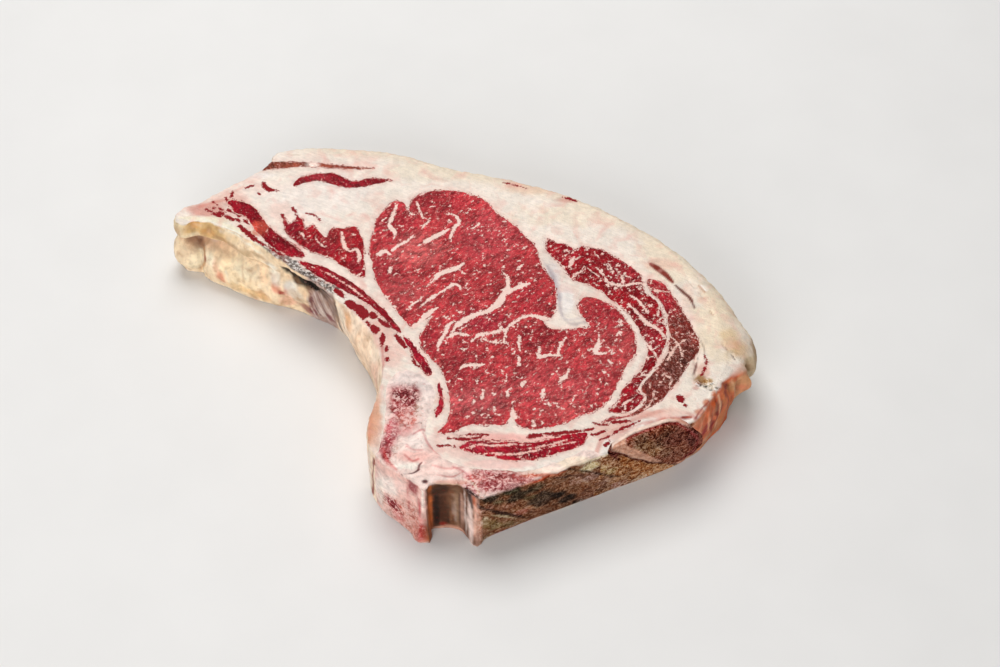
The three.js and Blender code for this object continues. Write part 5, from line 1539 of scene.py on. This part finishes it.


# %% [markdown]
# ## Raw lean meat
# Cut muscle is a bundle of wet fibres, each a few tenths of a millimetre thick, seen end on. A
# knife leaves them slightly uneven, so the surface has a soft, broken shine. Three scales of noise
# give this: patches of pigment over about 14 mm, bundles of fibres over about 2 mm, and the fibres
# themselves, drawn at 0.55 mm because real ones are too fine to show. The light and dark tone of
# the fibres is partly painted sheen, for the tiny wet highlights. The kept vein distance decides
# where fat replaces lean.

# %% The material of cut muscle
def cut_muscle(name, fat_colour, streaky, roughness, grain_turn):
    material, tree, in_mm = start_material(name)
    paint = add(tree, "ShaderNodeAttribute", attribute_name="paint")
    vein = add(tree, "ShaderNodeAttribute", attribute_name="vein").outputs["Fac"]
    along_grain = add(tree, "ShaderNodeMapping", {
        "Vector": in_mm, "Rotation": (0, 0, math.radians(grain_turn)), "Scale": (1.7, 1, 3),
    }, vector_type="TEXTURE")
    patches, bundles, fibres_and_sheen, specks = [
        add(tree, "ShaderNodeTexNoise", {
            "Vector": place, "Scale": 1 / size, "Detail": detail, "Roughness": grit,
            "Distortion": warp,
        })
        for place, size, detail, grit, warp in (
            (in_mm, 14, 2, 0.5, 0), (along_grain, 1.9, 3, 0.6, 0.5),
            (along_grain, 0.55, 2, 0.7, 0), (along_grain, 0.9, 5, 0.8, 0.9),
        )
    ]
    # The tone of the fibres is partly painted sheen, for the tiny wet highlights of the cut.
    lean = mottled(tree, paint, [
        (patches, 0.35, 0.65, 0.8, 1.22), (bundles, 0.34, 0.66, 0.5, 1.42),
        (fibres_and_sheen, 0.28, 0.72, 0.66, 1.32),
    ])
    # Connective tissue and the finest marbling show as pale specks between the bundles.
    lean = marked(tree, lean, rgba("#eaaa9e"), specks, 0.6 - 0.07 * streaky, 0.67, 0.9)
    fat_share = frayed(tree, in_mm, vein, 0.65, 2.08, 0.97)
    fat_tone = add(tree, "ShaderNodeMix", {
        "Factor": bundles, "A": rgba("#e2b8aa"), "B": rgba(fat_colour),
    }, data_type="RGBA")
    marbled = add(tree, "ShaderNodeMix", {"Factor": fat_share, "A": lean, "B": fat_tone},
                  data_type="RGBA")

    dulled = add(tree, "ShaderNodeMapRange", {
        "Value": bundles, "From Min": 0.3, "From Max": 0.7,
        "To Min": roughness + 0.12, "To Max": roughness - 0.08,
    })
    shader = add(tree, "ShaderNodeBsdfPrincipled", {
        "Base Color": marbled, "Roughness": dulled, "IOR": 1.4, "Specular IOR Level": 0.07,
        "Subsurface Weight": 0.06, "Subsurface Radius": (1.0, 0.3, 0.2),
        "Subsurface Scale": 0.001,
    })
    height = add(tree, "ShaderNodeMath", {0: bundles, 1: 0.7, 2: fibres_and_sheen},
                 operation="MULTIPLY_ADD")
    height = add(tree, "ShaderNodeMath", {0: fat_share, 1: -0.25, 2: height},
                 operation="MULTIPLY_ADD")
    finish_material(tree, shader, height, 0.3)
    return material


# %% [markdown]
# ## Open cells
# Where a saw opens the sponge of a bone, hollow cells and pale crumbs break up the colour. The
# cells are about 1 mm wide. One noise gives both: its low parts are holes, painted in the shade of
# the dense colour, and its peaks are crumbs. The helper serves the bones and the gristle in the
# sawn fat.

# %% Holes and crumbs in a dense colour
DEEPER = 2.1  # gamma that turns a colour into the same hue in shadow
BLEACHED = 0.52  # gamma that turns it into the same hue, dried pale


def open_cells(tree, in_mm, dense, size, crumb, crumb_share):
    """The broken colour, and the noise that it comes from."""
    cells = add(tree, "ShaderNodeTexNoise", {
        "Vector": in_mm, "Scale": 1 / size, "Detail": 4, "Roughness": 0.7, "Distortion": 0.9,
    })
    # The holes are painted shade: the dense colour as it looks in shadow.
    cell_shade = add(tree, "ShaderNodeGamma", {"Color": dense, "Gamma": DEEPER})
    holed = marked(tree, dense, cell_shade, cells, 0.485, 0.425, 1.0)
    return marked(tree, holed, crumb, cells, 0.53, 0.58, crumb_share), cells


# %% [markdown]
# ## Raw beef fat
# Hard fat is a mass of lobes a few millimetres across in thin skins of connective tissue. Cut, it
# is waxy and matt, with faint smears left by the knife. Its outside hangs in soft upright strands,
# 3 mm wide and three times as long, with painted shade, in a brown crust colour, in the hollows
# between the lobes. Light enters fat and comes out again close by, which softens its shadows. The
# same distance that draws marbling in the lean draws scraps of lean in the fat.

# %% The material of fat
def cut_fat(name):
    material, tree, in_mm = start_material(name)
    paint = add(tree, "ShaderNodeAttribute", attribute_name="paint")
    scrap, outside, sponge = [
        add(tree, "ShaderNodeAttribute", attribute_name=kept).outputs["Fac"]
        for kept in ("vein", "outside", "sponge")
    ]
    along_knife = add(tree, "ShaderNodeMapping", {
        "Vector": in_mm, "Rotation": (0, 0, math.radians(-24)), "Scale": (5, 1, 2),
    }, vector_type="TEXTURE")
    upright = add(tree, "ShaderNodeMapping", {"Vector": in_mm, "Scale": (1, 1, 0.33)})
    clouds, lobes, grain, smears, strands, stains = [
        add(tree, "ShaderNodeTexNoise", {
            "Vector": place, "Scale": 1 / size, "Detail": detail, "Roughness": grit,
            "Distortion": warp,
        })
        for place, size, detail, grit, warp in (
            (in_mm, 9, 3, 0.5, 0), (in_mm, 2.4, 2, 0.6, 0), (in_mm, 0.6, 3, 0.7, 0),
            (along_knife, 0.9, 3, 0.65, 0), (upright, 3, 1.5, 0.5, 0), (in_mm, 7, 2.5, 0.5, 0.6),
        )
    ]
    waxy = mottled(tree, paint, [(clouds, 0.3, 0.7, 0.93, 1.05), (lobes, 0.3, 0.7, 0.9, 1.06)])
    worked = add(tree, "ShaderNodeMix", {
        "Factor": outside, "A": mottled(tree, waxy, [(smears, 0.3, 0.7, 0.91, 1.07)]),
        "B": mottled(tree, waxy, [(strands, 0.32, 0.68, 0.84, 1.14)]),
    }, data_type="RGBA")
    # Blood tints the cut pink in soft clouds, and dried juices tint the outside brown.
    juices = add(tree, "ShaderNodeMix", {
        "Factor": outside, "A": rgba("#e0a698"), "B": rgba("#b5835c"),
    }, data_type="RGBA")
    stained = marked(tree, worked, juices, stains, 0.5, 0.75, 0.55)
    # Painted shade: the hollows between the lobes of the outside get a darker brown.
    crevice_shaded = marked(tree, stained, rgba("#a5713f"), lobes, 0.46, 0.32, 0.2, outside)
    skins = marked(tree, crevice_shaded, rgba("#b98672"), grain, 0.34, 0.26, 0.15)
    # Where the saw ran through gristle, dark holes show between pale crumbs.
    bleached = add(tree, "ShaderNodeGamma", {"Color": skins, "Gamma": BLEACHED})
    crumb = add(tree, "ShaderNodeMix", {
        "Factor": outside, "A": rgba("#f6efe8"), "B": bleached,
    }, data_type="RGBA")
    sawn, _ = open_cells(tree, in_mm, skins, 1.3, crumb, 0.95)
    fatty = add(tree, "ShaderNodeMix", {"Factor": sponge, "A": skins, "B": sawn},
                data_type="RGBA")
    lean_tone = add(tree, "ShaderNodeMix", {
        "Factor": grain, "A": rgba("#58040e"), "B": rgba("#a8161f"),
    }, data_type="RGBA")
    streaked = add(tree, "ShaderNodeMix", {
        "Factor": frayed(tree, in_mm, scrap, 0.7, 2.12, 1.0), "A": fatty, "B": lean_tone,
    }, data_type="RGBA")

    matt = add(tree, "ShaderNodeMapRange", {
        "Value": lobes, "From Min": 0.3, "From Max": 0.7, "To Min": 0.62, "To Max": 0.46,
    })
    wet = add(tree, "ShaderNodeMath", {0: sponge, 1: -0.15, 2: 0.17}, operation="MULTIPLY_ADD")
    shader = add(tree, "ShaderNodeBsdfPrincipled", {
        "Base Color": streaked, "Roughness": matt, "IOR": 1.44, "Specular IOR Level": wet,
        "Subsurface Weight": 0.1, "Subsurface Radius": (1.0, 0.7, 0.5),
        "Subsurface Scale": 0.0008,
    })
    # The fine grain stands up on the cut and hardly at all on the dried outside.
    fine = add(tree, "ShaderNodeMath", {0: outside, 1: -0.85, 2: 0.9}, operation="MULTIPLY_ADD")
    fine = add(tree, "ShaderNodeMath", {0: fine, 1: grain}, operation="MULTIPLY")
    height = add(tree, "ShaderNodeMath", {0: lobes, 1: 0.8, 2: fine}, operation="MULTIPLY_ADD")
    finish_material(tree, shader, height, 0.35)
    return material


# %% [markdown]
# ## Bone
# Bone is smooth and dense at its skin and a fine sponge inside. The sponge's cells are 0.5 to
# 1.5 mm wide: their holes are painted shade, and blood collects in them. Fresh bone shows larger
# cells with crumbs of its own colour. Where the saw cut has dried, the cells look finer and the
# crumbs are bleached.

# %% The material of bone
def bone(name, cell_size, crumb, crumb_share, roughness, depth):
    material, tree, in_mm = start_material(name)
    paint = add(tree, "ShaderNodeAttribute", attribute_name="paint")
    sponge, fresh = [
        add(tree, "ShaderNodeAttribute", attribute_name=kept).outputs["Fac"]
        for kept in ("sponge", "fresh")
    ]
    clouds = add(tree, "ShaderNodeTexNoise", {
        "Vector": in_mm, "Scale": 1 / 4, "Detail": 4, "Roughness": 0.65, "Distortion": 0.5,
    })
    dense = mottled(tree, paint, [(clouds, 0.35, 0.65, 0.75, 1.2)])
    bleached = add(tree, "ShaderNodeGamma", {"Color": dense, "Gamma": BLEACHED})
    sawn, _ = open_cells(tree, in_mm, dense, 0.75 * cell_size, bleached, 0.95)
    spongy, cells = open_cells(tree, in_mm, dense, cell_size, rgba(crumb), crumb_share)
    opened = add(tree, "ShaderNodeMix", {"Factor": fresh, "A": sawn, "B": spongy},
                 data_type="RGBA")
    bony = add(tree, "ShaderNodeMix", {"Factor": sponge, "A": dense, "B": opened},
               data_type="RGBA")
    # Blood collects in small hollows of the smooth bone.
    bloody = marked(tree, bony, rgba("#b8383c"), cells, 0.4, 0.3, 0.4, fresh)

    dulled = add(tree, "ShaderNodeMapRange", {
        "Value": cells, "From Min": 0.4, "From Max": 0.6, "To Min": roughness + 0.15,
        "To Max": roughness - 0.06,
    })
    wet = add(tree, "ShaderNodeMath", {0: fresh, 1: 0.12, 2: 0.02}, operation="MULTIPLY_ADD")
    shader = add(tree, "ShaderNodeBsdfPrincipled", {
        "Base Color": bloody, "Roughness": dulled, "IOR": 1.5, "Specular IOR Level": wet,
        "Subsurface Weight": 0.04, "Subsurface Radius": (1.0, 0.5, 0.35),
        "Subsurface Scale": 0.0008,
    })
    relief = add(tree, "ShaderNodeMath", {0: cells, 1: sponge}, operation="MULTIPLY")
    height = add(tree, "ShaderNodeMath", {0: clouds, 1: 0.4, 2: relief},
                 operation="MULTIPLY_ADD")
    finish_material(tree, shader, height, depth)
    return material


# %% Give every piece its finish
finishes = {
    "ribeye_meat": cut_muscle("Raw ribeye lean", "#f6e2d6", 0.7, 0.42, 40),
    "red_meat": cut_muscle("Raw cap and side lean", "#f4dacd", 0.6, 0.38, 40),
    "strap": cut_muscle("Raw strap lean", "#f2bcb0", 0.3, 0.34, -50),
    "dark_meat": cut_muscle("Air-dried outer lean", "#e8c2b2", 1.0, 0.5, -55),
    "fat": cut_fat("Raw beef fat"),
    "bone": bone("Fresh-cut rib vertebra", 1.8, "#f0c8be", 0.8, 0.46, 0.6),
    "sawn_bone": bone("Dried sawn bone", 1.7, "#c8906a", 0.5, 0.62, 0.6),
}
FINISH = {
    "ribeye_muscle": "ribeye_meat", "cap_border_muscle": "dark_meat",
    "skin_muscle_outer": "dark_meat", "vertebra": "bone", "feather_bone": "sawn_bone",
    "fat": "fat",
}  # the muscles that are not listed are red_meat
STRAPS = {
    "rib_strap_upper", "rib_strap_lower", "neck_strap", "neck_strap_lower", "skin_muscle_inner",
    "chine_muscle",
}  # red_meat too, but with the look of the straps
SHARP_EDGE = math.radians(55)

for name, piece in pieces.items():
    slot = FINISH.get(name, "red_meat")
    piece.data.materials.clear()
    piece.data.materials.append(finishes["strap" if name in STRAPS else slot])
    piece.data.shade_smooth()
    piece.data.set_sharp_from_angle(angle=SHARP_EDGE)
    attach(piece, "root")
    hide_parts(name)
print(len(pieces), "pieces finished")

# %% [markdown]
# ## Table, light and camera
# The slice lies on a plain, pale, matt table. One large soft light stands behind it on the left, as
# a window would, and a second one, further off, fills the shadows in front.

# %% The table top
TABLE_REACH = 3.0  # metres from the middle
TABLE_DROP = 0.0002  # metres that keep it just under the slice


def table_finish():
    material, tree, in_mm = start_material("Matt pale table")
    flow = add(tree, "ShaderNodeTexNoise", {"Vector": in_mm, "Scale": 1 / 40, "Detail": 3})
    shade = add(tree, "ShaderNodeMix", {
        "Factor": flow, "A": rgba("#dcdad7"), "B": rgba("#e3e1de"),
    }, data_type="RGBA")
    shader = add(tree, "ShaderNodeBsdfPrincipled", {"Base Color": shade, "Roughness": 0.8})
    finish_material(tree, shader, flow, 0.05)
    return material


table = bpy.data.objects.new("table_top", bpy.data.meshes.new("table_top"))
corners = [(-1, -1), (1, -1), (1, 1), (-1, 1)]
table.data.from_pydata(
    [(TABLE_REACH * x, TABLE_REACH * y, -TABLE_DROP) for x, y in corners], [], [(0, 1, 2, 3)],
)
table.data.materials.append(table_finish())
bpy.context.scene.collection.objects.link(table)


# %% Soft lights
def soft_light(name, place, size, watts):
    """A square light that faces the slice."""
    lamp = bpy.data.lights.new(name, "AREA")
    lamp.energy = watts
    lamp.size = size
    light = bpy.data.objects.new(name, lamp)
    light.location = place
    towards = -np.array(place) / np.linalg.norm(place)
    light.rotation_euler = (math.acos(-towards[2]), 0, math.atan2(-towards[0], towards[1]))
    bpy.context.scene.collection.objects.link(light)


soft_light("window", (-0.1, 0.45, 1.0), 0.7, 9.5)
soft_light("fill", (-0.35, -1.1, 0.6), 0.9, 10.5)

world = bpy.data.worlds.new("room")
world.use_nodes = True
backdrop = world.node_tree.nodes["Background"]
backdrop.inputs["Color"].default_value = rgba("#e6e8ec")
backdrop.inputs["Strength"].default_value = 0.3
bpy.context.scene.world = world
bpy.context.scene.view_settings.view_transform = "Standard"

# %% The camera
CAMERA_PLACE = (0.0187, -0.60541, 0.79243)  # metres
CAMERA_DOWN = 52.0  # degrees below the horizon
CAMERA_LENS = 85.0  # mm

camera = bpy.data.objects.new("camera", bpy.data.cameras.new("camera"))
camera.location = CAMERA_PLACE
camera.rotation_euler = (math.radians(90 - CAMERA_DOWN), 0, 0)
camera.data.lens = CAMERA_LENS
bpy.context.scene.collection.objects.link(camera)
bpy.context.scene.camera = camera
